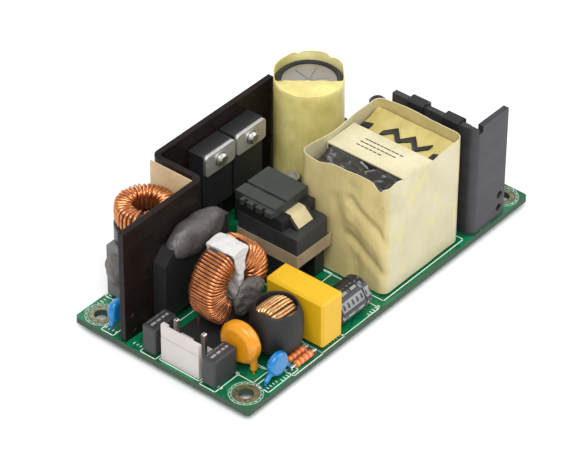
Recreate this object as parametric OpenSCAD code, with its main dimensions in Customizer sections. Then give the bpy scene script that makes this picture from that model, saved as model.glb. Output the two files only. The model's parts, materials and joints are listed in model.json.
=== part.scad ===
/* [Board] */
// Length of the circuit board, input edge to output edge
board_l = 101.6; // [101.6:0.1:120]
// Width of the circuit board
board_w = 50.8; // [50.8:0.1:60]
// Thickness of the circuit board
board_t = 1.6; // [1:0.1:2.4]
// Radius of the board's corners
board_corner_r = 1; // [0.5:0.1:2]
// Distance of each mounting hole from the two edges beside it
hole_inset = 4.3; // [4:0.1:5]
// Diameter of the mounting holes, clear for an M3 screw
hole_d = 3.5; // [3.2:0.1:4]
// Clearance of a lead in its drilled hole, on the diameter
lead_clearance = 0.3; // [0.2:0.05:0.5]
// Height of a solder joint below the board
solder_h = 0.9; // [0.6:0.1:1.2]
// Length of lead that stands out of a solder joint
lead_tip = 0.7; // [0.3:0.1:1]

/* [Primary heatsink] */
// Thickness of the folded heatsink sheet
sheet_t = 1.5; // [1:0.1:1.8]
// Height of the heatsink above the board
sheet_h = 30; // [26:0.5:34]
// Inside radius of the folds
fold_r = 1; // [0.5:0.1:1.5]
// Length of the front panel along the board
front_panel_l = 27.2; // [26:0.1:28]
// Length of the rear panel that carries the transistors
rear_panel_l = 39.8; // [38:0.1:40]
// Distance of the front panel from the input edge
front_panel_inset = 0.4; // [0.2:0.1:1]
// Thickness of the insulating sheet in the inner corner
insulation_t = 0.25; // [0.15:0.05:0.3]
// Diameter of the two staking marks at the foot of the front panel
stake_d = 1.5; // [1:0.1:2]

/* [Input end] */
// Width of the input header's housing
header_w = 10.9; // [10.4:0.1:11.2]
// Depth of the input header's housing
header_depth = 7; // [6.4:0.1:7.1]
// Height of the header's locking wall above the board
header_wall_h = 9.3; // [8:0.1:11]
// Thickness of the locking wall
header_wall_t = 1; // [0.8:0.1:1.4]
// Height of the header's floor above the board
header_floor_h = 3.2; // [2:0.1:4]
// Pitch between the two header pins
header_pitch = 7.92; // [7.5:0.02:8]
// Width of a square header pin
header_pin_w = 1.14; // [0.8:0.02:1.3]
// Height of the header pins above the board
header_pin_h = 10; // [9:0.1:12]
// Length of a box fuse
fuse_l = 7.6; // [7:0.1:7.9]
// Width of a box fuse
fuse_w = 3.8; // [3.2:0.1:4]
// Height of a box fuse
fuse_h = 7.7; // [6:0.1:9]
// Diameter of the varistor disc
varistor_d = 10.4; // [9:0.1:10.6]
// Thickness of the varistor disc
varistor_t = 4; // [3:0.1:4.2]
// Diameter of the small safety capacitor discs
disc_cap_d = 6; // [5:0.1:6.2]
// Thickness of the small safety capacitor discs
disc_cap_t = 2.2; // [1.8:0.1:2.3]

/* [Common-mode choke] */
// Thickness of the choke's windings over its ring
choke_winding_t = 1.5; // [1:0.05:2]
// Outer diameter of the ferrite ring
choke_core_d = 18.6; // [16.6:0.1:19.6]
// Inner diameter of the ferrite ring
choke_core_bore = 10; // [9:0.1:11]
// Axial thickness of the ferrite ring
choke_core_axial = 6.2; // [5.4:0.1:7]
// Turns in the fine winding
fine_turns = 27; // [16:1:32]
// Turns in the heavy winding
heavy_turns = 15; // [9:1:20]
// Thickness of the choke's base plate
choke_base_t = 2.2; // [1.6:0.1:2.6]

/* [Filter choke and film capacitor] */
// Diameter of the shrink sleeve round the filter choke
sleeve_d = 12.5; // [11.8:0.1:12.6]
// Height of the shrink sleeve
sleeve_h = 10; // [8:0.1:11]
// Wall of the shrink sleeve
sleeve_t = 0.45; // [0.3:0.05:0.5]
// Turns on the filter choke
filter_turns = 15; // [10:1:20]
// Thickness of the yellow film capacitor
x_cap_t = 7.1; // [6:0.1:7.3]
// Length of the yellow film capacitor
x_cap_l = 16.6; // [15:0.1:17]
// Height of the yellow film capacitor
x_cap_h = 12.8; // [10:0.1:15]
// Chamfer on the edges of moulded capacitor boxes
box_chamfer = 0.6; // [0.3:0.05:0.9]

/* [Bridge and boost choke] */
// Width of the bridge rectifier
bridge_w = 21.4; // [20:0.1:22]
// Thickness of the bridge rectifier
bridge_t = 3.6; // [3:0.1:4]
// Height of the bridge rectifier's body
bridge_h = 17.8; // [16:0.1:19]
// Length of the film capacitor behind the front panel
film_cap_l = 15.3; // [14:0.1:15.6]
// Depth of the film capacitor behind the front panel
film_cap_w = 12.8; // [12:0.1:13.2]
// Height of the film capacitor behind the front panel
film_cap_h = 14.5; // [12:0.1:15]
// Outer diameter of the toroidal boost choke
toroid_d = 14.8; // [13.6:0.1:15]
// Thickness of the toroidal boost choke over its winding
toroid_h = 5.9; // [5.2:0.1:6.6]
// Turns on the toroidal boost choke
toroid_turns = 36; // [24:1:44]

/* [Power inductor] */
// Length of the inductor's core along the board
inductor_l = 11.7; // [11:0.1:12]
// Width of the inductor's core across the board
inductor_w = 17.4; // [16.6:0.1:18]
// Height of the inductor's core
inductor_core_h = 8; // [7:0.1:8.6]
// Height of the inductor's top cover above the board
inductor_h = 22; // [21:0.1:23]
// Thickness of the inductor's top cover
cover_t = 2.6; // [2:0.1:3]

/* [Main transformer] */
// Length of the transformer over its tape wrap
wrap_l = 28.6; // [26:0.1:29]
// Width of the transformer over its tape wrap
wrap_w = 25.1; // [24:0.1:25.4]
// Height of the tape wrap above the board
wrap_h = 30.4; // [28.6:0.1:33]
// Fall of the wrap's rim from the input side to the output side
wrap_fall = 0.8; // [0:0.1:2]
// Fall of the wrap's rim from the rear to the front
wrap_lean = 0.2; // [0:0.1:2]
// Thickness of the tape wrap
wrap_t = 0.45; // [0.3:0.05:0.6]
// Corner radius of the tape wrap
wrap_r = 2.3; // [1.6:0.1:4]
// Thickness of the core along the board
core_t = 9.9; // [8:0.1:10.4]
// Height of the core's top above the board
core_top = 26.8; // [25:0.1:27.2]
// Thickness of the core's top and bottom yokes
yoke_t = 4.2; // [3.6:0.1:4.6]
// Thickness of the core's outer legs
core_leg_t = 3.2; // [2.6:0.1:3.4]
// Width of the core's centre leg
core_post_w = 7; // [6:0.1:7.6]
// Thickness of the tape strap over the core
strap_t = 0.3; // [0.2:0.05:0.4]
// Width of the tear in the wrap's rim
tear_w = 3.4; // [1:0.1:5]
// Depth of the tear in the wrap's rim
tear_h = 1.6; // [0.6:0.1:2.4]

/* [Capacitors] */
// Diameter of the bulk capacitor's can
bulk_d = 16.2; // [15:0.1:16.3]
// Height of the bulk capacitor
bulk_h = 31.2; // [28:0.1:34]
// Thickness of the tape collar round the bulk capacitor
collar_t = 0.3; // [0.2:0.05:0.4]
// Height that the collar stands above the can at the back
collar_rise = 2.6; // [1.6:0.1:4]
// Diameter of the lying capacitor beside the yellow one
bias_cap_d = 8.2; // [7:0.1:8.4]
// Length of the lying capacitor
bias_cap_l = 10.6; // [9:0.1:11]
// Diameter of the small upright capacitor
bypass_cap_d = 5; // [4:0.1:5.4]
// Height of the small upright capacitor
bypass_cap_h = 14; // [11:0.1:16]

/* [Output end] */
// Height of the secondary heatsink above the board
output_sheet_h = 30; // [26:0.5:32]
// Length of the secondary heatsink's panel across the board
output_panel_w = 24; // [23.4:0.1:25]
// Length of the secondary heatsink's panel along the front edge
output_panel_l = 12.4; // [11.4:0.1:13.6]
// Diameter of the output capacitors
output_cap_d = 8; // [7:0.1:8.2]
// Height of the output capacitor beside the bulk one
output_cap_tall = 16; // [12:0.1:23]
// Height of the two short output capacitors
output_cap_short = 16; // [12:0.1:17]
// Number of pins in the output header
output_pins_n = 6; // [4:1:6]
// Pitch of the output header
output_pitch = 3.96; // [3.5:0.01:3.98]
// Diameter of the output choke
output_choke_d = 9; // [7:0.1:9.2]
// Height of the output choke
output_choke_h = 8.6; // [7:0.1:9.6]

/* [Hidden] */

round_fn = 48;
small_fn = 20;
bulb_fn = 24;
fit = 0.1;
air = 0.3;
top = board_t;
edge_x = board_l / 2;
edge_y = board_w / 2;
hole_x = edge_x - hole_inset;
hole_y = edge_y - hole_inset;
pin_d = 0.8;
fine_lead_d = 0.6;
standoff = 0.4;
part_gap = 0.6;

// Primary heatsink, laid out from the input edge and the rear edge
front_x0 = -edge_x + front_panel_inset;
jog_x1 = front_x0 + front_panel_l;
jog_x0 = jog_x1 - sheet_t;
film_y1 = edge_y - 0.2;
film_y0 = film_y1 - film_cap_w;
front_y1 = film_y0 - 0.5;
front_y0 = front_y1 - sheet_t;
rear_y1 = edge_y;
rear_y0 = rear_y1 - sheet_t;
rear_x1 = jog_x1 + rear_panel_l;

// Input end
header_x0 = -edge_x + 1.2;
header_x1 = header_x0 + header_depth;
header_pin_x = header_x0 + 3.6;
fuse_x0 = -edge_x + 0.6;
varistor_x = fuse_x0 + fuse_l + 0.6 + varistor_t / 2;
varistor_y = -edge_y + 11.3;
varistor_z = top + varistor_d / 2 + 1.6;
varistor_pitch = 7.5;
front_disc_x = -edge_x + 12.8;
front_disc_y = -edge_y + 2.5;
front_disc_z = top + disc_cap_d / 2 + 1;
front_disc_pitch = 8;
rear_disc_x = -edge_x + 4.2;
rear_disc_y = front_y0 + 5.6;
rear_disc_z = top + disc_cap_d / 2 + 1.3;
rear_disc_pitch = 5;

// Filter choke, yellow capacitor and the capacitor that lies beside it
filter_x = varistor_x + varistor_t / 2 + 0.6 + sleeve_d / 2;
filter_y = -edge_y + 8.5;
filter_z0 = top + 3.2;
filter_z1 = filter_z0 + sleeve_h;
filter_ring_z = filter_z0 + 5.5;
filter_ring_r = 4.9;
filter_axial = 7.8;
filter_pitch = 6.4;
x_cap_x0 = filter_x + sleeve_d / 2 + 0.2;
x_cap_x1 = x_cap_x0 + x_cap_t;
x_cap_y0 = -edge_y + 0.6;
x_cap_y1 = x_cap_y0 + x_cap_l;
bias_x0 = x_cap_x1 + 0.4;
bias_x1 = bias_x0 + bias_cap_l;
bias_y = -edge_y + 4.9;
bias_z = top + bias_cap_d / 2 + 0.2;

// Common-mode choke
choke_d = choke_core_d + 2 * choke_winding_t;
choke_axial = choke_core_axial + 2 * choke_winding_t;
choke_x = header_x1 + 0.5 + choke_d / 2;
choke_y = x_cap_y1 + part_gap + choke_axial / 2;
choke_z = top + choke_base_t + choke_d / 2 + 0.2;
choke_face_y = choke_y - choke_axial / 2;
separator_half = 15;
winding_gap = 4;
choke_pitch = 11.2;
choke_base_r = choke_d / 2 + 0.2;
winding_foot = 30;
core_gap = 0.06;
turn_r = 0.5;
header_y = choke_y - 1.8;
fuse_left_y = header_y + header_w / 2 + 1.3;
fuse_right_y = header_y - header_w / 2 - 1.3 - fuse_w;

// Bridge rectifier, film capacitor and toroidal choke round the front panel
bridge_x0 = -edge_x + 10;
bridge_y1 = front_y0;
bridge_y0 = bridge_y1 - bridge_t;
bridge_z0 = top + 2.2;
bridge_z1 = bridge_z0 + bridge_h;
bridge_cut = 3;
film_x1 = jog_x0 - insulation_t - 0.35;
film_x0 = film_x1 - film_cap_l;
film_z1 = top + film_cap_h;
toroid_r = toroid_d / 2;
toroid_x = jog_x0 - insulation_t - 0.3 - toroid_r;
toroid_y = front_y1 + insulation_t + fit + toroid_r;
cup_h = 4.6;
toroid_z = film_z1 + cup_h + toroid_h / 2;
toroid_turn = 213.3;

// Transistors on the rear panel
transistor_xs = [jog_x1 + 14.7, jog_x1 + 25.5];
transistor_w = 10.2;
transistor_t = 4.6;
transistor_h = 16.5;
transistor_z1 = top + 26;
transistor_y1 = rear_y0;
transistor_y0 = transistor_y1 - transistor_t;
clamp_w = 10.2;
clamp_h = 5.6;
clamp_t = 0.9;
clamp_z = top + 23.2;
screw_d = 3;
screw_clear = 0.3;
screw_head_d = 5.4;
screw_head_h = 1.2;
screw_tail = 1.1;
stake_h = 0.4;

// Secondary heatsink and what it carries, from the output edge inwards
output_header_x1 = edge_x - 0.2;
output_header_x0 = output_header_x1 - 6.7;
short_cap_x = output_header_x0 - 0.3 - output_cap_d / 2;
rectifier_t = 4.5;
clip_room = 0.4;
output_fold_r = 0.3;
rectifier_inset = 0.8;
panel_x1 = short_cap_x - output_cap_d / 2 - rectifier_t - clip_room;
panel_x0 = panel_x1 - sheet_t;
panel_y0 = -edge_y + 0.4;
panel_y1 = panel_y0 + output_panel_w;
rectifier_w = 9.9;
rectifier_h = 15.4;
rectifier_z0 = top + 8;
rectifier_ys = [panel_y0 + sheet_t + output_fold_r + rectifier_inset + rectifier_w / 2,
    panel_y1 - 1.5 - rectifier_w / 2];
clip_t = 0.6;
clip_w = 4.6;

// Main transformer
wrap_x1 = panel_x0 - 2.2;
wrap_x0 = wrap_x1 - wrap_l;
wrap_x = (wrap_x0 + wrap_x1) / 2;
wrap_y0 = -edge_y + 1.8;
wrap_y1 = wrap_y0 + wrap_w;
wrap_y = (wrap_y0 + wrap_y1) / 2;
core_w = wrap_w - 2 * wrap_t - 2 * strap_t - 0.5;
core_z1 = top + core_top;
core_z0 = top + 4.4;
core_mid_z = (core_z0 + core_z1) / 2;
window_z0 = core_z0 + yoke_t;
window_z1 = core_z1 - yoke_t;
bobbin_wall = 0.8;
bobbin_l = wrap_l - 2 * wrap_t - 3.4;
bobbin_w = core_w - 2 * core_leg_t - 0.4;
rail_l = 4.6;
rail_pins = 5;
rail_pitch = 3.8;

// Power inductor
inductor_wall_t = 1.5;
inductor_x1 = wrap_x0 - 0.7;
inductor_x0 = inductor_x1 - inductor_l;
inductor_mid_x = (inductor_x0 + inductor_x1) / 2;
inductor_y = wrap_y1 - 1.4;
inductor_back_t = 2.6;
inductor_leg_t = 3.1;
inductor_post_w = 5.4;
winding_build = 2.7;
flange_rise = 0.3;
inductor_z1 = top + inductor_h - cover_t - winding_build - flange_rise;
inductor_z0 = inductor_z1 - inductor_core_h;
inductor_z = (inductor_z0 + inductor_z1) / 2;
tape_t = 0.15;
tape_h = 3.4;
cover_y0 = inductor_y - 2.3;
cover_y1 = inductor_y + inductor_w / 2 + 0.7;

// Bulk capacitor and the small upright one
bulk_r = bulk_d / 2;
bulk_x = max(wrap_x0 + 21.5, rear_x1 + 3.3);
bulk_y = edge_y - bulk_r - 1.35;
bypass_x = wrap_x0 + 7.8;
bypass_y = wrap_y1 + 8.4;

// Output capacitors, choke and header
tall_cap_x = panel_x1 + 4.3;
tall_cap_y = panel_y1 + 7;
short_cap_ys = [panel_y1 - 9.2, panel_y1 - 0.4];
small_cap_d = 4.2;
small_cap_h = 12;
small_cap_y = edge_y - 10;
output_choke_x = max(edge_x - 17.2, bulk_x + bulk_r + 5.6);
small_cap_x = max(edge_x - 5.6, output_choke_x + 6.8);
output_choke_y = edge_y - 5.8;
output_header_w = output_pins_n * output_pitch;
output_pin_x = output_header_x1 - 3.3;

// Leads as x, y and diameter, one row for each, from the parts that own them
function row(x, ys, d) = [for (y = ys) [x, y, d]];
function line(xs, y, d) = [for (x = xs) [x, y, d]];
function spread(centre, count, pitch) =
    [for (i = [0:count - 1]) centre + (i - (count - 1) / 2) * pitch];

header_leads = row(header_pin_x, spread(header_y, 2, header_pitch), header_pin_w);
fuse_leads = concat(
    line(spread(fuse_x0 + fuse_l / 2, 2, 5), fuse_left_y + fuse_w / 2, fine_lead_d),
    line(spread(fuse_x0 + fuse_l / 2, 2, 5), fuse_right_y + fuse_w / 2, fine_lead_d));
varistor_leads = row(varistor_x, spread(varistor_y, 2, varistor_pitch), pin_d);
front_disc_leads = line(spread(front_disc_x, 2, front_disc_pitch), front_disc_y, fine_lead_d);
rear_disc_leads = line(spread(rear_disc_x, 2, rear_disc_pitch), rear_disc_y, fine_lead_d);
resistor_xs = spread(-edge_x + 20.6, 2, 8.2);
resistor_ys = [-edge_y + 1.5, -edge_y + 3.7];
resistor_leads = [for (y = resistor_ys) for (x = resistor_xs) [x, y, fine_lead_d]];
choke_pin_xs = spread(choke_x, 2, choke_pitch);
choke_pin_ys = spread(choke_y, 2, choke_axial - 1.6);
choke_pin_leads = [for (x = choke_pin_xs) for (y = choke_pin_ys) [x, y, pin_d]];
filter_leads = row(filter_x, spread(filter_y, 2, filter_pitch), pin_d);
toroid_leads = row(film_x0 - 0.9, spread(front_y1 + 2.2, 2, 2), pin_d);
x_cap_leads = row(x_cap_x0 + x_cap_t / 2, spread(x_cap_y0 + x_cap_l / 2, 2, 12.5), pin_d);
bridge_leads = line(spread(bridge_x0 + bridge_w / 2, 4, 5.1), bridge_y0 + bridge_t / 2, 1.1);
film_leads = line(spread(film_x0 + film_cap_l / 2, 2, 10), film_y0 + film_cap_w / 2, pin_d);
transistor_lead_y = transistor_y0 + 1.6;
transistor_leads = [for (c = transistor_xs) for (x = spread(c, 3, 2.54))
    [x, transistor_lead_y, pin_d]];
bulk_leads = line(spread(bulk_x, 2, 7.5), bulk_y, pin_d);
inductor_leads = [for (x = [inductor_x0 + 1.5, inductor_x1 - 1.5])
    for (y = spread(inductor_y, 3, 5)) [x, y, pin_d]];
bypass_leads = line(spread(bypass_x, 2, 2), bypass_y, fine_lead_d);
bias_leads = row(bias_x1 + 1.3, spread(bias_y, 2, 3.5), fine_lead_d);
rail_xs = [wrap_x - bobbin_l / 2 + rail_l / 2, wrap_x + bobbin_l / 2 - rail_l / 2];
transformer_leads = [for (x = rail_xs) for (y = spread(wrap_y, rail_pins, rail_pitch))
    [x, y, pin_d]];
rectifier_lead_x = panel_x1 + 2.6;
rectifier_leads = [for (c = rectifier_ys) for (y = spread(c, 3, 2.54))
    [rectifier_lead_x, y, pin_d]];
output_cap_leads = concat(
    row(tall_cap_x, spread(tall_cap_y, 2, 3.5), fine_lead_d),
    row(short_cap_x, spread(short_cap_ys[0], 2, 3.5), fine_lead_d),
    row(short_cap_x, spread(short_cap_ys[1], 2, 3.5), fine_lead_d),
    row(small_cap_x, spread(small_cap_y, 2, 2), fine_lead_d));
output_choke_leads = line(spread(output_choke_x, 2, 5), output_choke_y, pin_d);
output_pin_leads = row(output_pin_x, spread(0, output_pins_n, output_pitch), header_pin_w);

round_leads = concat(fuse_leads, varistor_leads, front_disc_leads, rear_disc_leads,
    resistor_leads, choke_pin_leads, filter_leads, toroid_leads, x_cap_leads, bridge_leads,
    film_leads, transistor_leads, bulk_leads, inductor_leads, bypass_leads, bias_leads,
    transformer_leads, rectifier_leads, output_cap_leads, output_choke_leads);
square_leads = concat(header_leads, output_pin_leads);

// Lugs that key the folded sheets into the board, as x, y, length and width
lug_l = 3;
primary_lugs = [
    [front_x0 + 5, front_y0, lug_l, sheet_t],
    [jog_x1 - 9, front_y0, lug_l, sheet_t],
    [jog_x1 + 5, rear_y0, lug_l, sheet_t],
    [rear_x1 - 7, rear_y0, lug_l, sheet_t]
];
secondary_lugs = [
    [panel_x0, panel_y0 + 5, sheet_t, lug_l],
    [panel_x0, panel_y1 - 7, sheet_t, lug_l]
];
lug_clear = 0.15;
cut = 1;

// Plain shapes

module box(x0, x1, y0, y1, z0, z1) {
    translate([x0, y0, z0]) cube([x1 - x0, y1 - y0, z1 - z0]);
}

module soft_box(x0, x1, y0, y1, z0, z1, c) {
    hull() {
        box(x0, x1, y0 + c, y1 - c, z0 + c, z1 - c);
        box(x0 + c, x1 - c, y0, y1, z0 + c, z1 - c);
        box(x0 + c, x1 - c, y0 + c, y1 - c, z0, z1);
    }
}

module rounded(x0, x1, y0, y1, z0, z1, r) {
    translate([0, 0, z0]) linear_extrude(z1 - z0) {
        translate([x0 + r, y0]) square([x1 - x0 - 2 * r, y1 - y0]);
        translate([x0, y0 + r]) square([x1 - x0, y1 - y0 - 2 * r]);
        for (x = [x0 + r, x1 - r]) for (y = [y0 + r, y1 - r])
            translate([x, y]) circle(r, $fn = round_fn);
    }
}

module rod(a, b, d) {
    v = b - a;
    run = sqrt(v[0] * v[0] + v[1] * v[1]);
    translate(a) rotate([0, atan2(run, v[2]), atan2(v[1], v[0])])
        cylinder(h = norm(v), d = d, $fn = small_fn);
}

module leads(rows, z1) {
    for (p = rows) translate([p[0], p[1], 0]) cylinder(h = z1, d = p[2], $fn = small_fn);
}

module post(x, y, z0, z1, d) {
    translate([x, y, z0]) cylinder(h = z1 - z0, d = d, $fn = round_fn);
}

module fold(x, y, z0, h, turn, r = fold_r) {
    translate([x, y, z0]) rotate([0, 0, turn]) rotate_extrude(angle = 90, $fn = round_fn)
        translate([r, 0]) square([sheet_t, h]);
}

// Wound ring: a sleeve round the ring's section, with one ridge for each turn

function section_point(r0, r1, half, c, grow, k) =
    let (q = floor(k / 3), a = 90 * q + 45 * (k % 3),
        r = (q == 0 || q == 3) ? r1 - c : r0 + c,
        h = q < 2 ? half - c : c - half)
    [r + (c + grow) * cos(a), h + (c + grow) * sin(a)];

function wound_row(r0, r1, half, c, grow, a) = [for (k = [0:11])
    let (p = section_point(r0, r1, half, c, grow, k)) [p[0] * cos(a), p[0] * sin(a), p[1]]];

function flat_list(rows) = [for (r = rows) for (p = r) p];

module wound_ring(r0, r1, half, c, low, high, turns, steps, a0, a1) {
    n = turns * steps;
    m = ceil((a1 - a0) / 10);
    outer = [for (i = [0:n]) wound_row(r0, r1, half, c, i % steps == 0 ? low : high,
        a0 + (a1 - a0) * i / n)];
    inner = [for (j = [0:m]) wound_row(r0, r1, half, c, 0, a0 + (a1 - a0) * j / m)];
    base = 12 * (n + 1);
    last = base + 12 * m;
    faces = concat(
        flat_list([for (i = [0:n - 1]) for (k = [0:11]) let (e = (k + 1) % 12, p = 12 * i)
            [[p + k, p + 12 + e, p + 12 + k], [p + k, p + e, p + 12 + e]]]),
        flat_list([for (j = [0:m - 1]) for (k = [0:11]) let (e = (k + 1) % 12,
            p = base + 12 * j) [[p + k, p + 12 + k, p + 12 + e], [p + k, p + 12 + e, p + e]]]),
        flat_list([for (k = [0:11]) let (e = (k + 1) % 12)
            [[k, base + k, base + e], [k, base + e, e]]]),
        flat_list([for (k = [0:11]) let (e = (k + 1) % 12, p = 12 * n)
            [[p + k, last + e, last + k], [p + k, p + e, last + e]]]));
    polyhedron(concat(flat_list(outer), flat_list(inner)), faces, convexity = 8);
}

module ring(r0, r1, half) {
    difference() {
        translate([0, 0, -half]) cylinder(h = 2 * half, r = r1, $fn = round_fn);
        translate([0, 0, -half - cut]) cylinder(h = 2 * half + 2 * cut, r = r0, $fn = round_fn);
    }
}

module wound_core(r0, r1, half, c) {
    rotate_extrude($fn = round_fn) polygon([for (k = [0:11])
        section_point(r0, r1, half, c, -core_gap, k)]);
}

module blob(centre, axes) {
    translate(centre) scale(axes) rotate([90, 0, 0]) sphere(r = 1, $fn = bulb_fn);
}

// Board

module circuit_board() {
    color("#2f6a3c") difference() {
        rounded(-edge_x, edge_x, -edge_y, edge_y, 0, board_t, board_corner_r);
        for (x = [-hole_x, hole_x]) for (y = [-hole_y, hole_y])
            post(x, y, -cut, board_t + cut, hole_d);
        for (p = round_leads) translate([p[0], p[1], -cut])
            cylinder(h = board_t + 2 * cut, d = p[2] + lead_clearance, $fn = small_fn);
        for (p = square_leads) translate([p[0], p[1], -cut])
            cylinder(h = board_t + 2 * cut, d = p[2] * sqrt(2) + lead_clearance, $fn = small_fn);
        for (s = concat(primary_lugs, secondary_lugs)) box(s[0] - lug_clear,
            s[0] + s[2] + lug_clear, s[1] - lug_clear, s[1] + s[3] + lug_clear,
            -cut, board_t + cut);
    }
}

// Primary heatsink and what is fixed to it

module primary_heatsink() {
    screw_z = clamp_z;
    color("#1c1c1e") difference() {
        union() {
            box(front_x0, jog_x0 - fold_r, front_y0, front_y1, top, top + sheet_h);
            fold(jog_x0 - fold_r, front_y1 + fold_r, top, sheet_h, -90);
            box(jog_x0, jog_x1, front_y1 + fold_r, rear_y0 - fold_r, top, top + sheet_h);
            fold(jog_x1 + fold_r, rear_y0 - fold_r, top, sheet_h, 90);
            box(jog_x1 + fold_r, rear_x1, rear_y0, rear_y1, top, top + sheet_h);
            for (s = primary_lugs)
                box(s[0], s[0] + s[2], s[1], s[1] + s[3], 0, top);
            for (s = [[2.7, 6.1], [3.3, 1.6]])
                translate([front_x0 + s[0], front_y0 - stake_h, top + s[1]])
                    rotate([-90, 0, 0]) cylinder(h = stake_h + sheet_t / 2, d = stake_d,
                        $fn = small_fn);
        }
        for (x = transistor_xs) translate([x, rear_y1, screw_z]) rotate([90, 0, 0])
            rotate_extrude($fn = round_fn) polygon([[0, -cut], [screw_head_d / 2, -cut],
                [screw_head_d / 2, 0], [screw_d / 2, screw_head_h],
                [screw_d / 2, sheet_t + cut], [0, sheet_t + cut]]);
    }
}

module insulation_sheet() {
    x = jog_x0 - fold_r;
    y = front_y1 + fold_r;
    z0 = top + 0.3;
    z1 = top + sheet_h - 1;
    color("#c9a878") {
        box(front_x0 + 5.4, x, front_y1, front_y1 + insulation_t, z0, z1);
        translate([x, y, z0]) rotate([0, 0, -90]) rotate_extrude(angle = 90, $fn = round_fn)
            translate([fold_r - insulation_t, 0]) square([insulation_t, z1 - z0]);
        box(jog_x0 - insulation_t, jog_x0, y, edge_y - 0.2, z0, z1);
    }
}

module bridge_rectifier() {
    color("#232325") {
        translate([bridge_x0, bridge_y1, bridge_z0]) rotate([90, 0, 0])
            linear_extrude(bridge_t) polygon([[0, 0], [bridge_w, 0], [bridge_w, bridge_h],
                [bridge_cut, bridge_h], [0, bridge_h - bridge_cut]]);
        leads(bridge_leads, bridge_z0 + fit);
    }
}

module bridge_adhesive() {
    color("#8d9093") difference() {
        blob([bridge_x0 + 11.5, bridge_y0 + 1.2, bridge_z1 - 0.5], [9.2, 3.4, 4.6]);
        box(bridge_x0, bridge_x0 + bridge_w, bridge_y0, front_y1, bridge_z0, bridge_z1);
        box(bridge_x0 - cut, bridge_x0 + bridge_w + cut, front_y0, front_y1 + cut,
            bridge_z0, bridge_z1 + 8);
    }
}

module film_capacitor() {
    color("#3a3b3e") {
        soft_box(film_x0, film_x1, film_y0, film_y1, top + air, film_z1, box_chamfer);
        leads(film_leads, top + air + box_chamfer);
    }
}

module film_adhesive() {
    color("#8d9093") intersection() {
        blob([film_x0, edge_y - 3.6, top + 8.6], [1.2, 3.2, 4.6]);
        box(film_x0 - 2, film_x0, film_y0, film_y1, top, film_z1);
    }
}

module boost_choke_core() {
    color("#4a4c4f") translate([toroid_x, toroid_y, toroid_z])
        wound_core(toroid_r - 3.4, toroid_r - 0.8, toroid_h / 2 - 0.8, turn_r);
}

module boost_choke_winding() {
    color("#b4602f") translate([toroid_x, toroid_y, toroid_z]) rotate([0, 0, toroid_turn])
        wound_ring(toroid_r - 3.4, toroid_r - 0.8, toroid_h / 2 - 0.8, turn_r, 0.3, 0.8,
            toroid_turns, 2, 5, 355);
}

module boost_choke_cup() {
    color("#202022") translate([toroid_x, toroid_y, film_z1])
        rotate_extrude($fn = round_fn) polygon([[2.4, 0], [toroid_r - 0.4, 0],
            [toroid_r - 0.1, 0.3], [toroid_r - 0.1, cup_h - 0.3], [toroid_r - 0.4, cup_h],
            [2.4, cup_h]]);
}

module transistors() {
    color("#222224") for (x = transistor_xs) difference() {
        union() {
            soft_box(x - transistor_w / 2, x + transistor_w / 2, transistor_y0,
                transistor_y1, transistor_z1 - transistor_h, transistor_z1, 0.3);
            for (p = spread(x, 3, 2.54)) translate([p, transistor_lead_y, 0])
                cylinder(h = transistor_z1 - transistor_h + 1, d = pin_d, $fn = small_fn);
        }
        translate([x, transistor_y0 - cut, clamp_z]) rotate([-90, 0, 0])
            cylinder(h = transistor_t + 2 * cut, d = screw_d + screw_clear, $fn = round_fn);
    }
}

module clamp_plates() {
    r = 1;
    color("#a9adb2") for (x = transistor_xs) difference() {
        translate([x, transistor_y0, clamp_z]) rotate([90, 0, 0])
            rounded(-clamp_w / 2, clamp_w / 2, -clamp_h / 2, clamp_h / 2, 0, clamp_t, r);
        translate([x, transistor_y0 - clamp_t - cut, clamp_z]) rotate([-90, 0, 0])
            cylinder(h = clamp_t + 2 * cut, d = screw_d + screw_clear, $fn = round_fn);
    }
}

module clamp_screws() {
    y = transistor_y0 - clamp_t - screw_tail;
    l = rear_y1 - y;
    color("#b9bcc0") for (x = transistor_xs) translate([x, y, clamp_z])
        rotate([-90, 0, 0]) difference() {
            rotate_extrude($fn = round_fn) polygon([[0, 0], [screw_d / 2 - 0.4, 0],
                [screw_d / 2, 0.4], [screw_d / 2, l - screw_head_h], [screw_head_d / 2, l],
                [0, l]]);
            for (s = [[2.8, 0.6], [0.6, 2.8]])
                translate([-s[0] / 2, -s[1] / 2, l - 0.8]) cube([s[0], s[1], 2]);
        }
}

// Input end

module input_header() {
    z1 = top + header_floor_h;
    y0 = header_y - header_w / 2;
    y1 = header_y + header_w / 2;
    color("#ecebe4") difference() {
        union() {
            box(header_x0, header_x1, y0, y1, top, z1);
            box(header_x0, header_x0 + header_wall_t, y0, y1, top, top + header_wall_h);
            for (y = [y0 + 0.9, y1 - 2.1])
                box(header_x0 + header_wall_t, header_x0 + header_wall_t + 0.6, y, y + 1.2,
                    z1, top + header_wall_h - 1.2);
            box(header_x0, header_x0 + header_wall_t, y1 - 1.6, y1, top + header_wall_h,
                top + header_wall_h + 0.7);
        }
        for (y = spread(header_y, 2, header_pitch)) box(header_pin_x - header_pin_w / 2,
            header_pin_x + header_pin_w / 2, y - header_pin_w / 2, y + header_pin_w / 2,
            top - cut, z1 + cut);
        box(header_x1 - 1.2, header_x1 + cut, header_y - 2, header_y + 2, top + 1.4, z1 + cut);
        box(header_x0 - cut, header_x0 + 0.15, y0 - cut, y1 + cut, top + 6.4, top + 6.65);
    }
}

module input_pins() {
    w = header_pin_w / 2;
    color("#c9ccd0") for (y = spread(header_y, 2, header_pitch))
        soft_box(header_pin_x - w, header_pin_x + w, y - w, y + w, 0, top + header_pin_h, 0.2);
}

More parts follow.
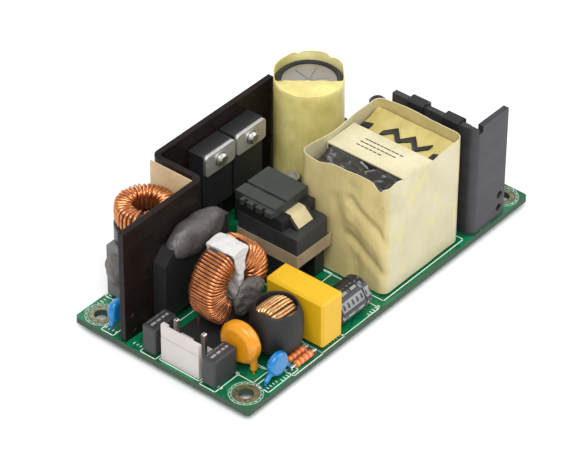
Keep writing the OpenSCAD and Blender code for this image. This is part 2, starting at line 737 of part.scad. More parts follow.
module fuse(y0, ids) {
    color("#26262a") {
        soft_box(fuse_x0, fuse_x0 + fuse_l, y0, y0 + fuse_w, top + air, top + fuse_h, 0.35);
        leads([fuse_leads[ids], fuse_leads[ids + 1]], top + air + 0.5);
    }
}

module fuse_left() {
    fuse(fuse_left_y, 0);
}

module fuse_right() {
    fuse(fuse_right_y, 2);
}

module disc_body(x, y, z, d, t, turn) {
    e = t * 0.28;
    translate([x, y, z]) rotate([90, 0, turn]) translate([0, 0, -t / 2])
        rotate_extrude($fn = round_fn) polygon([[0, 0], [d / 2 - e, 0], [d / 2, e],
            [d / 2, t - e], [d / 2 - e, t], [0, t]]);
}

module varistor() {
    color("#d8892b") {
        disc_body(varistor_x, varistor_y, varistor_z, varistor_d, varistor_t, 90);
        for (s = [-1, 1]) {
            y = varistor_y + s * varistor_pitch / 2;
            post(varistor_x, y, 0, top + 3.2, pin_d);
            post(varistor_x, y, top + 0.8, varistor_z - varistor_d / 4, 1.7);
        }
    }
}

module disc_capacitor(x, y, z, pitch) {
    color("#2f62a8") {
        disc_body(x, y, z, disc_cap_d, disc_cap_t, 0);
        for (s = [-1, 1]) {
            post(x + s * pitch / 2, y, 0, top + 1.2, fine_lead_d);
            rod([x + s * pitch / 2, y, top + 1.1], [x + s * disc_cap_d / 4, y,
                z - disc_cap_d / 8], 1.3);
        }
    }
}

module safety_capacitor_front() {
    disc_capacitor(front_disc_x, front_disc_y, front_disc_z, front_disc_pitch);
}

module safety_capacitor_rear() {
    disc_capacitor(rear_disc_x, rear_disc_y, rear_disc_z, rear_disc_pitch);
}

module bleed_resistors() {
    x = (resistor_xs[0] + resistor_xs[1]) / 2;
    z = top + 1;
    color("#b9483a") for (y = resistor_ys) {
        rod([x - 2.6, y, z], [x + 2.6, y, z], 1.7);
        rod([resistor_xs[0], y, z], [resistor_xs[1], y, z], fine_lead_d);
        for (e = resistor_xs) {
            post(e, y, 0, z, fine_lead_d);
            translate([e, y, z]) sphere(d = fine_lead_d, $fn = small_fn);
        }
    }
}

// Common-mode choke, its ring standing with its axis across the board

module choke_frame() {
    translate([choke_x, choke_y, choke_z]) rotate([90, 0, 0]) rotate([0, 0, 90]) children();
}

choke_r0 = choke_core_bore / 2;
choke_r1 = choke_core_d / 2;
choke_half = choke_core_axial / 2;
choke_wire = choke_winding_t;

module choke_core() {
    color("#3d4043") choke_frame() wound_core(choke_r0, choke_r1, choke_half, turn_r);
}

module choke_winding_fine() {
    color("#bd6a35") choke_frame() wound_ring(choke_r0, choke_r1, choke_half, turn_r,
        choke_wire - 0.45, choke_wire, fine_turns, 3, separator_half + winding_gap,
        180 - winding_foot);
}

module choke_winding_heavy() {
    color("#c4703a") choke_frame() wound_ring(choke_r0, choke_r1, choke_half, turn_r,
        choke_wire - 0.75, choke_wire, heavy_turns, 3, 180 + winding_foot,
        360 - separator_half - winding_gap);
}

module choke_separator() {
    wall = 0.9;
    color("#e9e7dd") {
        choke_frame() rotate([0, 0, -separator_half]) difference() {
            rotate_extrude(angle = 2 * separator_half, $fn = round_fn)
                translate([choke_r0 - wall, -choke_half - wall])
                square([choke_r1 - choke_r0 + 2 * wall, 2 * choke_half + 2 * wall]);
            ring(choke_r0, choke_r1, choke_half);
        }
        box(choke_x - 0.6, choke_x + 0.6, choke_y - choke_half - wall,
            choke_y + choke_half + wall, choke_z - choke_r0 + 0.2, choke_z + choke_r0 - 0.5);
    }
}

module choke_base() {
    z1 = top + choke_base_t;
    color("#1d1d1f") difference() {
        union() {
            rounded(choke_x - choke_base_r, choke_x + choke_base_r,
                choke_y - choke_axial / 2 - 0.4, choke_y + choke_axial / 2 + 1, top, z1, 1);
            box(choke_x - 3, choke_x + 3, choke_y - choke_half, choke_y + choke_half, top,
                z1 + 2.4);
        }
        translate([choke_x, choke_y + 8, choke_z]) rotate([90, 0, 0])
            cylinder(h = 16, r = choke_r1, $fn = round_fn);
        for (p = choke_pin_leads) post(p[0], p[1], top - cut, z1 + cut, pin_d);
    }
}

module choke_adhesive() {
    color("#8d9093") difference() {
        blob([choke_x + 1.1, choke_face_y - 0.5, choke_z - 2.4], [4.8, 1.7, 4.7]);
        box(choke_x - 8, choke_x + 8, choke_face_y, choke_face_y + 4, top, top + 20);
    }
}

function under(z, r, side) = z - sqrt(pow(r, 2) - pow(side - pin_d / 2, 2)) - 0.05;

module choke_leads() {
    color("#c07a48") {
        for (p = choke_pin_leads)
            post(p[0], p[1], 0, under(choke_z, choke_d / 2, choke_pitch / 2), pin_d);
        for (p = filter_leads)
            post(p[0], p[1], 0, under(filter_ring_z, filter_ring_r, filter_pitch / 2), pin_d);
        for (p = toroid_leads) {
            z = toroid_z - 2.4;
            post(p[0], p[1], 0, z, pin_d);
            translate([p[0], p[1], z]) sphere(d = pin_d + 0.1, $fn = small_fn);
            v = [p[0] - toroid_x, p[1] - toroid_y];
            e = (toroid_r + 0.05) / norm(v);
            rod([p[0], p[1], z], [toroid_x + e * v[0], toroid_y + e * v[1], z], pin_d);
        }
    }
}

// Filter choke in its shrink sleeve, its ring standing with its axis along the board

filter_wire = 0.7;
filter_r1 = filter_ring_r - filter_wire;
filter_r0 = 2.2;
filter_half = filter_axial / 2 - filter_wire;

module filter_frame() {
    translate([filter_x, filter_y, filter_ring_z]) rotate([0, 90, 0]) children();
}

module filter_choke_core() {
    color("#3d4043") filter_frame() wound_core(filter_r0, filter_r1, filter_half, 1);
}

module filter_choke_winding() {
    color("#b9652f") filter_frame() wound_ring(filter_r0, filter_r1, filter_half, 1,
        filter_wire - 0.45, filter_wire, filter_turns, 3, 10, 350);
}

module filter_choke_sleeve() {
    r = sleeve_d / 2;
    color("#1a1a1c") translate([filter_x, filter_y, 0]) rotate_extrude($fn = round_fn)
        polygon([[r - sleeve_t, filter_z0], [r, filter_z0], [r, filter_z1 - 1.1],
            [r - 0.4, filter_z1 - 0.35], [r - 1, filter_z1], [r - 1.3, filter_z1],
            [r - 1.3, filter_z1 - 0.35], [r - 1, filter_z1 - 0.5],
            [r - sleeve_t, filter_z1 - 1.4]]);
}

module x_capacitor() {
    color("#d9a92f") {
        soft_box(x_cap_x0, x_cap_x1, x_cap_y0, x_cap_y0 + x_cap_l, top + air,
            top + x_cap_h, box_chamfer);
        leads(x_cap_leads, top + air + box_chamfer);
    }
}

// Capacitor cans

module can(r, h) {
    e = 0.5;
    rotate_extrude($fn = round_fn) polygon([[0, 0], [r - e, 0], [r, e], [r, 2],
        [r - 0.3, 2.4], [r, 2.8], [r, h - e], [r - e, h], [r - 1.1, h],
        [r - 1.3, h - 0.4], [0, h - 0.4]]);
}

module bulk_capacitor() {
    color("#26272c") {
        difference() {
            translate([bulk_x, bulk_y, top + air]) can(bulk_r, bulk_h - air);
            for (a = [0, 60, 120]) translate([bulk_x, bulk_y, top + bulk_h - 0.6])
                rotate([0, 0, a + 20]) translate([-bulk_r * 0.62, -0.2, 0])
                cube([bulk_r * 1.24, 0.4, 1]);
        }
        leads(bulk_leads, top + air + 0.2);
    }
}

module bulk_collar() {
    r = bulk_r + collar_t;
    low = bulk_h - 0.3;
    slant = atan(collar_rise / bulk_d);
    color("#cfc089") difference() {
        translate([bulk_x, bulk_y, 0]) difference() {
            post(0, 0, top + air, top + bulk_h + collar_rise, 2 * r);
            post(0, 0, top, top + bulk_h + collar_rise + cut, bulk_d);
        }
        translate([bulk_x, bulk_y, top + low + collar_rise / 2]) rotate([0, 0, 50])
            rotate([0, -slant, 0]) translate([-20, -20, 0]) cube([40, 40, 20]);
    }
}

module bypass_capacitor() {
    color("#25262b") {
        translate([bypass_x, bypass_y, top + air]) can(bypass_cap_d / 2, bypass_cap_h - air);
        leads(bypass_leads, top + air + 0.2);
    }
}

module bias_capacitor() {
    r = bias_cap_d / 2;
    color("#25262b") {
        translate([bias_x1, bias_y, bias_z]) rotate([0, -90, 0]) can(r, bias_cap_l);
        for (p = bias_leads) {
            rod([bias_x1 - fit, p[1], bias_z], [p[0], p[1], bias_z], fine_lead_d);
            translate([p[0], p[1], bias_z]) sphere(d = fine_lead_d, $fn = small_fn);
            post(p[0], p[1], 0, bias_z, fine_lead_d);
        }
    }
}

// Power inductor: a core lying flat, its winding round the middle leg

inductor_y0 = inductor_y - inductor_w / 2;
inductor_y1 = inductor_y + inductor_w / 2;
inductor_in0 = inductor_x0 + inductor_back_t;
inductor_in1 = inductor_x1 - inductor_back_t;
inductor_leg_in = inductor_w / 2 - inductor_leg_t;

module inductor_core() {
    post_h = inductor_core_h - 2.4;
    color("#45474a") {
        difference() {
            box(inductor_x0, inductor_x1, inductor_y0, inductor_y1, inductor_z0, inductor_z1);
            box(inductor_in0, inductor_in1, inductor_y0 + inductor_leg_t,
                inductor_y1 - inductor_leg_t, inductor_z0 - cut, inductor_z1 + cut);
        }
        box(inductor_in0 - fit, inductor_in1 + fit, inductor_y - inductor_post_w / 2,
            inductor_y + inductor_post_w / 2, inductor_z - post_h / 2, inductor_z + post_h / 2);
    }
}

module inductor_outline(x0, x1, grow) {
    h = inductor_core_h / 2 + 0.15;
    w = inductor_leg_in - 0.15;
    z1 = inductor_core_h / 2 + winding_build + grow;
    translate([x0, inductor_y, inductor_z]) rotate([90, 0, 90]) linear_extrude(x1 - x0)
        polygon([[-3.8, z1], [3.8, z1], [3.8 + z1 - h, h], [w, h], [w, -h],
            [3.8 + z1 - h, -h], [3.8, -z1], [-3.8, -z1], [h - z1 - 3.8, -h], [-w, -h],
            [-w, h], [h - z1 - 3.8, h]]);
}

module inductor_bobbin() {
    f = 0.7;
    t = 0.6;
    y = inductor_post_w / 2 + fit;
    z = inductor_core_h / 2 - 1.2 + fit;
    color("#20241f") difference() {
        union() {
            inductor_outline(inductor_in0, inductor_in0 + f, flange_rise);
            inductor_outline(inductor_in1 - f, inductor_in1, flange_rise);
            box(inductor_in0, inductor_in1, inductor_y - y - t, inductor_y + y + t,
                inductor_z - z - t, inductor_z + z + t);
            for (x = [[inductor_x0, inductor_in0 + f], [inductor_in1 - f, inductor_x1]]) {
                box(x[0], x[1], inductor_y - 4.2, inductor_y1, inductor_z1 + fit,
                    top + inductor_h - cover_t);
                box(x[0], x[1], inductor_y - 7, inductor_y + 7, top + standoff,
                    inductor_z0 - fit);
            }
        }
        box(inductor_in0 - cut, inductor_in1 + cut, inductor_y - y, inductor_y + y,
            inductor_z - z, inductor_z + z);
        for (p = inductor_leads) post(p[0], p[1], top, inductor_z0 - 3, pin_d);
    }
}

module inductor_winding() {
    f = 0.7;
    t = 0.6;
    y = inductor_post_w / 2 + fit + t;
    z = inductor_core_h / 2 - 1.2 + fit + t;
    color("#c2ab74") difference() {
        inductor_outline(inductor_in0 + f, inductor_in1 - f, 0);
        box(inductor_in0, inductor_in1, inductor_y - y, inductor_y + y,
            inductor_z - z, inductor_z + z);
    }
    color("#8a5a3a") for (p = inductor_leads) post(p[0], p[1], 0, inductor_z0 - 3, pin_d);
}

module inductor_tape() {
    z0 = inductor_z0 + 0.1;
    color("#b9a98a") difference() {
        rounded(inductor_x0 - tape_t, inductor_x1 + tape_t, inductor_y0 - tape_t,
            inductor_y1 + tape_t, z0, z0 + tape_h, 0.12);
        box(inductor_x0, inductor_x1, inductor_y0, inductor_y1, z0 - cut, z0 + tape_h + cut);
    }
}

module inductor_cover() {
    z0 = top + inductor_h - cover_t;
    z1 = top + inductor_h;
    x0 = inductor_x0 - inductor_wall_t;
    color("#232723") difference() {
        union() {
            box(inductor_x0, inductor_x1 - fit, cover_y0, cover_y1, z0, z1);
            box(x0, inductor_x0, cover_y0, cover_y1 - 2.5, z0 + 0.6, z1 - 0.5);
        }
        box(inductor_x0 + 3.4, inductor_x0 + 4.2, cover_y0 - cut, cover_y1 + cut,
            z1 - 0.6, z1 + cut);
        for (y = [cover_y0 + 2, cover_y0 + 4.6, cover_y0 + 7.2])
            box(x0 - cut, inductor_x0 - 0.4, y, y + 0.9, z0, z1);
    }
}

// Main transformer

module core_half(z0, z1, yoke0, yoke1) {
    y0 = wrap_y - core_w / 2;
    y1 = wrap_y + core_w / 2;
    x0 = wrap_x - core_t / 2;
    x1 = wrap_x + core_t / 2;
    box(x0, x1, y0, y1, yoke0, yoke1);
    box(x0, x1, y0, y0 + core_leg_t, z0, z1);
    box(x0, x1, y1 - core_leg_t, y1, z0, z1);
    box(x0, x1, wrap_y - core_post_w / 2, wrap_y + core_post_w / 2, z0, z1);
}

module transformer_core_upper() {
    color("#47494c") core_half(core_mid_z, core_z1, window_z1, core_z1);
}

module transformer_core_lower() {
    color("#47494c") core_half(core_z0, core_mid_z, core_z0, window_z0);
}

module flange(z0, z1) {
    y = bobbin_w / 2;
    x = bobbin_l / 2;
    e = core_t / 2 + 0.25;
    w = core_w / 2 - 0.3;
    box(wrap_x - x, wrap_x + x, wrap_y - y, wrap_y + y, z0, z1);
    for (s = [-1, 1]) box(wrap_x + min(s * e, s * x), wrap_x + max(s * e, s * x),
        wrap_y - w, wrap_y + w, z0, z1);
}

module transformer_bobbin() {
    x = bobbin_l / 2;
    tube_x = core_t / 2 + 0.15;
    tube_y = core_post_w / 2 + 0.15;
    color("#1f2022") difference() {
        union() {
            flange(window_z0 + fit, window_z0 + fit + bobbin_wall);
            flange(window_z1 - fit - bobbin_wall, window_z1 - fit);
            box(wrap_x - tube_x - bobbin_wall, wrap_x + tube_x + bobbin_wall,
                wrap_y - tube_y - bobbin_wall, wrap_y + tube_y + bobbin_wall,
                window_z0 + fit, window_z1 - fit);
            for (s = [-1, 1]) {
                rail = wrap_x + s * (x - rail_l / 2);
                box(rail - rail_l / 2, rail + rail_l / 2, wrap_y - core_w / 2 + 0.6,
                    wrap_y + core_w / 2 - 0.6, top + standoff, window_z0 + fit + bobbin_wall);
                lip = wrap_x + s * (x - 0.6);
                box(lip - 0.6, lip + 0.6, wrap_y - 7.6, wrap_y + 7.6,
                    window_z1 - fit - bobbin_wall, window_z1 + 2);
            }
        }
        box(wrap_x - tube_x, wrap_x + tube_x, wrap_y - tube_y, wrap_y + tube_y,
            window_z0 - cut, window_z1 + cut);
        for (s = [-1, 1]) for (y = [-5, 0, 5]) box(wrap_x + s * x - 1.6, wrap_x + s * x + 1.6,
            wrap_y + y - 0.8, wrap_y + y + 0.8, window_z1 + 0.4, window_z1 + 2 + cut);
        for (p = transformer_leads) post(p[0], p[1], top, window_z0 - 2, pin_d);
    }
}

module transformer_winding() {
    tube_x = core_t / 2 + 0.15 + bobbin_wall;
    tube_y = core_post_w / 2 + 0.15 + bobbin_wall;
    x = bobbin_l / 2 - 0.9;
    y = bobbin_w / 2 - 0.15;
    z0 = window_z0 + fit + bobbin_wall;
    z1 = window_z1 - fit - bobbin_wall;
    color("#d3c27a") difference() {
        rounded(wrap_x - x, wrap_x + x, wrap_y - y, wrap_y + y, z0, z1, 5);
        box(wrap_x - tube_x, wrap_x + tube_x, wrap_y - tube_y, wrap_y + tube_y,
            z0 - cut, z1 + cut);
    }
}

module transformer_pins() {
    color("#b9bcc0") for (p = transformer_leads) post(p[0], p[1], 0, window_z0 - 2, pin_d);
}

module transformer_wrap() {
    color("#cdbf86") difference() {
        rounded(wrap_x0, wrap_x1, wrap_y0, wrap_y1, top + standoff, top + wrap_h, wrap_r);
        rounded(wrap_x0 + wrap_t, wrap_x1 - wrap_t, wrap_y0 + wrap_t, wrap_y1 - wrap_t,
            top, top + wrap_h + cut, wrap_r - wrap_t);
        translate([wrap_x0, wrap_y1, top + wrap_h]) rotate([atan(wrap_lean / wrap_w),
            atan(wrap_fall / wrap_l), 0]) translate([-10, -wrap_w - 10, 0])
            cube([wrap_l + 20, wrap_w + 20, 20]);
        box(wrap_x0 - cut, wrap_x0 + 1, wrap_y0 + wrap_r, wrap_y0 + wrap_r + tear_w,
            top + wrap_h - wrap_lean - tear_h, top + wrap_h + cut);
    }
}

module transformer_strap() {
    w = core_t / 2 - 0.1;
    y0 = wrap_y - core_w / 2;
    y1 = wrap_y + core_w / 2;
    color("#d8ca92") difference() {
        box(wrap_x - w, wrap_x + w, y0 - strap_t, y1 + strap_t, core_z0 - strap_t,
            core_z1 + strap_t);
        box(wrap_x - w - cut, wrap_x + w + cut, y0, y1, core_z0, core_z1);
    }
}

// Output end

module secondary_heatsink() {
    x = panel_x0 + sheet_t + output_fold_r;
    y = panel_y0 + sheet_t + output_fold_r;
    z1 = top + output_sheet_h;
    color("#1c1c1e") difference() {
        union() {
            box(panel_x0, panel_x1, y, panel_y1, top, z1);
            fold(x, y, top, output_sheet_h, 180, output_fold_r);
            box(x, panel_x0 + output_panel_l, panel_y0, panel_y0 + sheet_t, top, z1);
            for (s = secondary_lugs)
                box(s[0], s[0] + s[2], s[1], s[1] + s[3], 0, top);
        }
        box(x - 0.5, x + 1, panel_y0 - cut, panel_y0 + sheet_t + cut, z1 - 1.6, z1 + cut);
        box(panel_x0 - cut, panel_x1 + cut, panel_y0 + 7.2, panel_y0 + 8.6, z1 - 1.2,
            z1 + cut);
        for (s = [[10.5, 6.3], [10.4, 2.7]])
            translate([panel_x0 + s[0], panel_y0 - cut, top + s[1]]) rotate([-90, 0, 0])
                cylinder(h = sheet_t + 2 * cut, d = 2, $fn = small_fn);
    }
}

module output_rectifiers() {
    z1 = rectifier_z0 + rectifier_h;
    color("#232325") for (y = rectifier_ys) {
        soft_box(panel_x1, panel_x1 + rectifier_t, y - rectifier_w / 2, y + rectifier_w / 2,
            rectifier_z0, z1, 0.3);
        for (p = spread(y, 3, 2.54)) translate([rectifier_lead_x, p, 0])
            cylinder(h = rectifier_z0 + 1, d = pin_d, $fn = small_fn);
    }
}

module rectifier_clips() {
    z1 = top + output_sheet_h;
    a = clip_t;
    x0 = panel_x0;
    x1 = panel_x1;
    xr = panel_x1 + rectifier_t;
    zr = rectifier_z0 + rectifier_h;
    color("#3a3c3f") for (y = rectifier_ys) translate([0, y + clip_w / 2 - 0.5, 0])
        rotate([90, 0, 0]) linear_extrude(clip_w) polygon([
            [x0 - a, z1 - 6], [x0, z1 - 6], [x0, z1 + 0.05],
            [x1 + 0.2, z1 + 0.05], [x1 + 0.6, z1 - 0.4], [x1 + 0.8, zr + 2.8],
            [xr, zr + 0.2], [xr, zr - 4.6], [xr + 0.5, zr - 5.8], [xr + 1.1, zr - 5.8],
            [xr + a, zr - 4.7], [xr + a, zr + 0.6], [x1 + 1.5, zr + 3.2],
            [x1 + 1.2, z1], [x1 + 0.5, z1 + 0.65],
            [x0 - 0.1, z1 + 0.65], [x0 - a, z1 + 0.2]]);
}

module output_capacitors() {
    caps = [[tall_cap_x, tall_cap_y, output_cap_d, output_cap_tall],
        [short_cap_x, short_cap_ys[0], output_cap_d, output_cap_short],
        [short_cap_x, short_cap_ys[1], output_cap_d, output_cap_short],
        [small_cap_x, small_cap_y, small_cap_d, small_cap_h]];
    color("#25262b") {
        for (c = caps) translate([c[0], c[1], top + air]) can(c[2] / 2, c[3] - air);
        leads(output_cap_leads, top + air + 0.2);
    }
}

module output_choke() {
    r = output_choke_d / 2;
    h = output_choke_h;
    color("#35373a") {
        translate([output_choke_x, output_choke_y, top + air]) rotate_extrude($fn = round_fn)
            polygon([[0, 0], [r, 0], [r, 1.2], [r - 0.9, 1.2], [r - 0.9, h - 1.5],
                [r, h - 1.5], [r, h - air], [0, h - air]]);
        leads(output_choke_leads, top + air + 0.2);
    }
}

module output_header() {
    z1 = top + header_floor_h;
    x0 = output_header_x0;
    x1 = output_header_x1;
    y = output_header_w / 2;
    color("#ecebe4") difference() {
        union() {
            box(x0, x1, -y, y, top, z1);
            box(x1 - header_wall_t, x1, -y, y, top, top + header_wall_h);
            for (p = spread(0, output_pins_n, output_pitch))
                box(x1 - header_wall_t - 0.5, x1 - header_wall_t, p - 0.5, p + 0.5, z1,
                    top + header_wall_h - 1.2);
        }
        for (p = spread(0, output_pins_n, output_pitch)) box(output_pin_x - header_pin_w / 2,
            output_pin_x + header_pin_w / 2, p - header_pin_w / 2, p + header_pin_w / 2,
            top - cut, z1 + cut);
    }
}

module output_pins() {
    w = header_pin_w / 2;
    color("#c9ccd0") for (p = spread(0, output_pins_n, output_pitch))
        soft_box(output_pin_x - w, output_pin_x + w, p - w, p + w, 0, top + header_pin_h, 0.2);
}

// Underside

module solder_joints() {
    color("#b6babd") {
        for (p = concat(round_leads, square_leads)) translate([p[0], p[1], -solder_h])
            cylinder(h = solder_h, d1 = p[2] * 1.1, d2 = p[2] + 1.1, $fn = small_fn);
        for (p = concat(round_leads, square_leads))
            translate([p[0], p[1], -solder_h - lead_tip])
                cylinder(h = lead_tip + 0.2, d = p[2] * 0.9, $fn = small_fn);
        for (s = concat(primary_lugs, secondary_lugs)) box(s[0], s[0] + s[2], s[1],
            s[1] + s[3], -solder_h, 0);
    }
}

module surface_chips() {
    chips = [[transistor_xs[1] - 2.3, transistor_lead_y - 4.9, 10, 4, 1.5],
        [wrap_x + 9.6, wrap_y1, 5, 4, 1.5], [bias_x0 + 3.2, bias_y + 7, 5, 4, 1.5]];
    color("#232326") for (c = chips) {
        soft_box(c[0] - c[2] / 2, c[0] + c[2] / 2, c[1] - c[3] / 2, c[1] + c[3] / 2,
            -c[4], -0.1, 0.25);
        for (s = [-1, 1]) for (x = spread(c[0], round(c[2] / 1.27), 1.27))
            box(x - 0.2, x + 0.2, c[1] + min(s * (c[3] / 2 - 0.3), s * (c[3] / 2 + 0.9)),
                c[1] + max(s * (c[3] / 2 - 0.3), s * (c[3] / 2 + 0.9)), -0.35, 0);
    }
}

module surface_passives() {
    tx = transistor_xs;
    ty = transistor_lead_y;
    places = concat(
        row(tx[0] + 0.5, [ty - 7.9, ty - 5.9, ty - 3.9], 0),
        row(tx[1] + 5.7, [ty - 5.9, ty - 3.9], 0), row(tx[1] + 8.7, [ty - 7.9], 0),
        row(wrap_x + 1.6, [wrap_y1 - 0.5, wrap_y1 + 1.7], 0),
        row(tall_cap_x - 5.9, [tall_cap_y - 2, tall_cap_y], 0),
        line([bias_x0 + 1.2, bias_x0 + 4.2], bias_y + 2.5, 0),
        row(choke_x + 12.3, [choke_y, choke_y - 2.2, choke_y - 4.4], 0),
        row(output_choke_x - 2.6, [output_choke_y - 6.6, output_choke_y - 4.6], 0),
        row(small_cap_x + 3.4, [small_cap_y + 0.4], 0));
    color("#8a7455") for (p = places)
        box(p[0] - 1, p[0] + 1, p[1] - 0.6, p[1] + 0.6, -0.6, 0);
}

// What is drawn

circuit_board();
primary_heatsink();
insulation_sheet();
input_header();
input_pins();
fuse_left();
fuse_right();
varistor();
safety_capacitor_front();
safety_capacitor_rear();
bleed_resistors();
choke_core();
choke_winding_fine();
choke_winding_heavy();
choke_separator();
choke_base();
choke_adhesive();
filter_choke_core();
filter_choke_winding();
filter_choke_sleeve();
choke_leads();
x_capacitor();
bridge_rectifier();
bridge_adhesive();
film_capacitor();
film_adhesive();
boost_choke_core();
boost_choke_winding();
boost_choke_cup();
transistors();
clamp_plates();
clamp_screws();
bulk_capacitor();
bulk_collar();
inductor_core();
inductor_bobbin();
inductor_winding();
inductor_tape();
inductor_cover();
bypass_capacitor();
bias_capacitor();
transformer_core_upper();
transformer_core_lower();
transformer_bobbin();
transformer_winding();
transformer_pins();
transformer_wrap();
transformer_strap();
secondary_heatsink();
output_rectifiers();
rectifier_clips();
output_capacitors();
output_choke();
output_header();
output_pins();
solder_joints();
surface_chips();
surface_passives();
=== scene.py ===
"""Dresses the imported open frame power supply: finishes, wound wire, tape wraps, print, stage and camera."""

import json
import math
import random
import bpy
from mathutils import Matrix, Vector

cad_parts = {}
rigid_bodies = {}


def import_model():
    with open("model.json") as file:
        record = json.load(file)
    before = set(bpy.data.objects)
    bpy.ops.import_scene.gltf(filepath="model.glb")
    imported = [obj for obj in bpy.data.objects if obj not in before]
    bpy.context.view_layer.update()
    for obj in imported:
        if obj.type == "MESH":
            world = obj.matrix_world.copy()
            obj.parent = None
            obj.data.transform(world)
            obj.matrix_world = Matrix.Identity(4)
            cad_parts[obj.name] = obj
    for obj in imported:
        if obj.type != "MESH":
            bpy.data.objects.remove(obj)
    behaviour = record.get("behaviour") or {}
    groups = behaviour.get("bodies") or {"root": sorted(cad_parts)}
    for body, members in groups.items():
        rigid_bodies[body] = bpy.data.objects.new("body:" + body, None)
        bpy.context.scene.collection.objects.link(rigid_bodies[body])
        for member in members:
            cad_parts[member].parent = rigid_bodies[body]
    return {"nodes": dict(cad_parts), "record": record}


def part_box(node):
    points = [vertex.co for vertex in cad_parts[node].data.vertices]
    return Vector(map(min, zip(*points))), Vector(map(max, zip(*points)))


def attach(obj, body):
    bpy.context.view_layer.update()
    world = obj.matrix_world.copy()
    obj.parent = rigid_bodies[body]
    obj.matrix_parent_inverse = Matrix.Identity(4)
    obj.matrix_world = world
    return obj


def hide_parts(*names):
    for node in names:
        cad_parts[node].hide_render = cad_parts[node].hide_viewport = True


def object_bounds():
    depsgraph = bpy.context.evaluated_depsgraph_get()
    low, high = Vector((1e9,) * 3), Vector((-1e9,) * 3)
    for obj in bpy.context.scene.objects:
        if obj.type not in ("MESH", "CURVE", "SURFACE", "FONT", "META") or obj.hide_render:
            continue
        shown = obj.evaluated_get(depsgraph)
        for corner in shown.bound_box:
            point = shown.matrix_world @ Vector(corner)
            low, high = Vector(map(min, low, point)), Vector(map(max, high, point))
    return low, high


bl_info = {
    "name": "Open frame power supply",
    "version": (1, 0, 0),
    "blender": (4, 5, 0),
    "location": "3D View > Sidebar > Power Supply",
    "description": "Builds the finishes and the fine pieces of an open frame power supply",
    "category": "Object",
}

import bmesh
import bpy
from mathutils import Matrix, Vector, noise

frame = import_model()
CAD_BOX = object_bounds()
NODES = frame["nodes"]
MM = 0.001
PER_METRE = 1000.0
BOARD_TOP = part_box("circuit_board")[1][2]
STAGE_Z = CAD_BOX[0][2]


def mm_box(node):
    low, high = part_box(node)
    return [v * PER_METRE for v in low], [v * PER_METRE for v in high]


def centre_of(node):
    low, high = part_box(node)
    return [(a + b) / 2 for a, b in zip(low, high)]


# ---------------------------------------------------------------- materials

class Sock:
    """A shader socket that Python's operators work on."""

    def __init__(self, tree, out):
        self.tree = tree
        self.out = out

    def math(self, operation, *others, clamp=False):
        node = self.tree.nodes.new("ShaderNodeMath")
        node.operation = operation
        node.use_clamp = clamp
        for i, value in enumerate((self,) + others):
            put(self.tree, node.inputs[i], value)
        return Sock(self.tree, node.outputs[0])

    def __add__(self, other):
        return self.math("ADD", other)

    def __sub__(self, other):
        return self.math("SUBTRACT", other)

    def __mul__(self, other):
        return self.math("MULTIPLY", other)

    def __truediv__(self, other):
        return self.math("DIVIDE", other)

    def __rsub__(self, other):
        node = self.tree.nodes.new("ShaderNodeValue")
        node.outputs[0].default_value = other
        return Sock(self.tree, node.outputs[0]) - self

    __radd__ = __add__
    __rmul__ = __mul__

    def over(self, edge, soft=0.0):
        """1 where this is above edge, with a ramp of width soft."""
        if not soft:
            return self.math("GREATER_THAN", edge)
        return ((self - edge) / soft + 0.5).math("ADD", 0.0, clamp=True)

    def under(self, edge, soft=0.0):
        return 1.0 - self.over(edge, soft)

    def abs(self):
        return self.math("ABSOLUTE")

    def sin(self):
        return self.math("SINE")


def put(tree, socket, value):
    if isinstance(value, Sock):
        tree.links.new(value.out, socket)
    elif socket.type == "RGBA" and len(value) == 3:
        socket.default_value = (*value, 1.0)
    else:
        socket.default_value = value


class Tree:
    """A node tree with short ways to add to it."""

    def node(self, kind, settings=None, out=0, **values):
        made = self.tree.nodes.new(kind)
        for key, value in (settings or {}).items():
            setattr(made, key, value)
        for key, value in values.items():
            put(self.tree, made.inputs[key.replace("_", " ")], value)
        return Sock(self.tree, made.outputs[out])

    def split(self, kind, vector):
        made = self.tree.nodes.new(kind)
        put(self.tree, made.inputs[0], vector)
        return [Sock(self.tree, out) for out in made.outputs]

    def point(self, x, y, z):
        return self.node("ShaderNodeCombineXYZ", X=x, Y=y, Z=z)


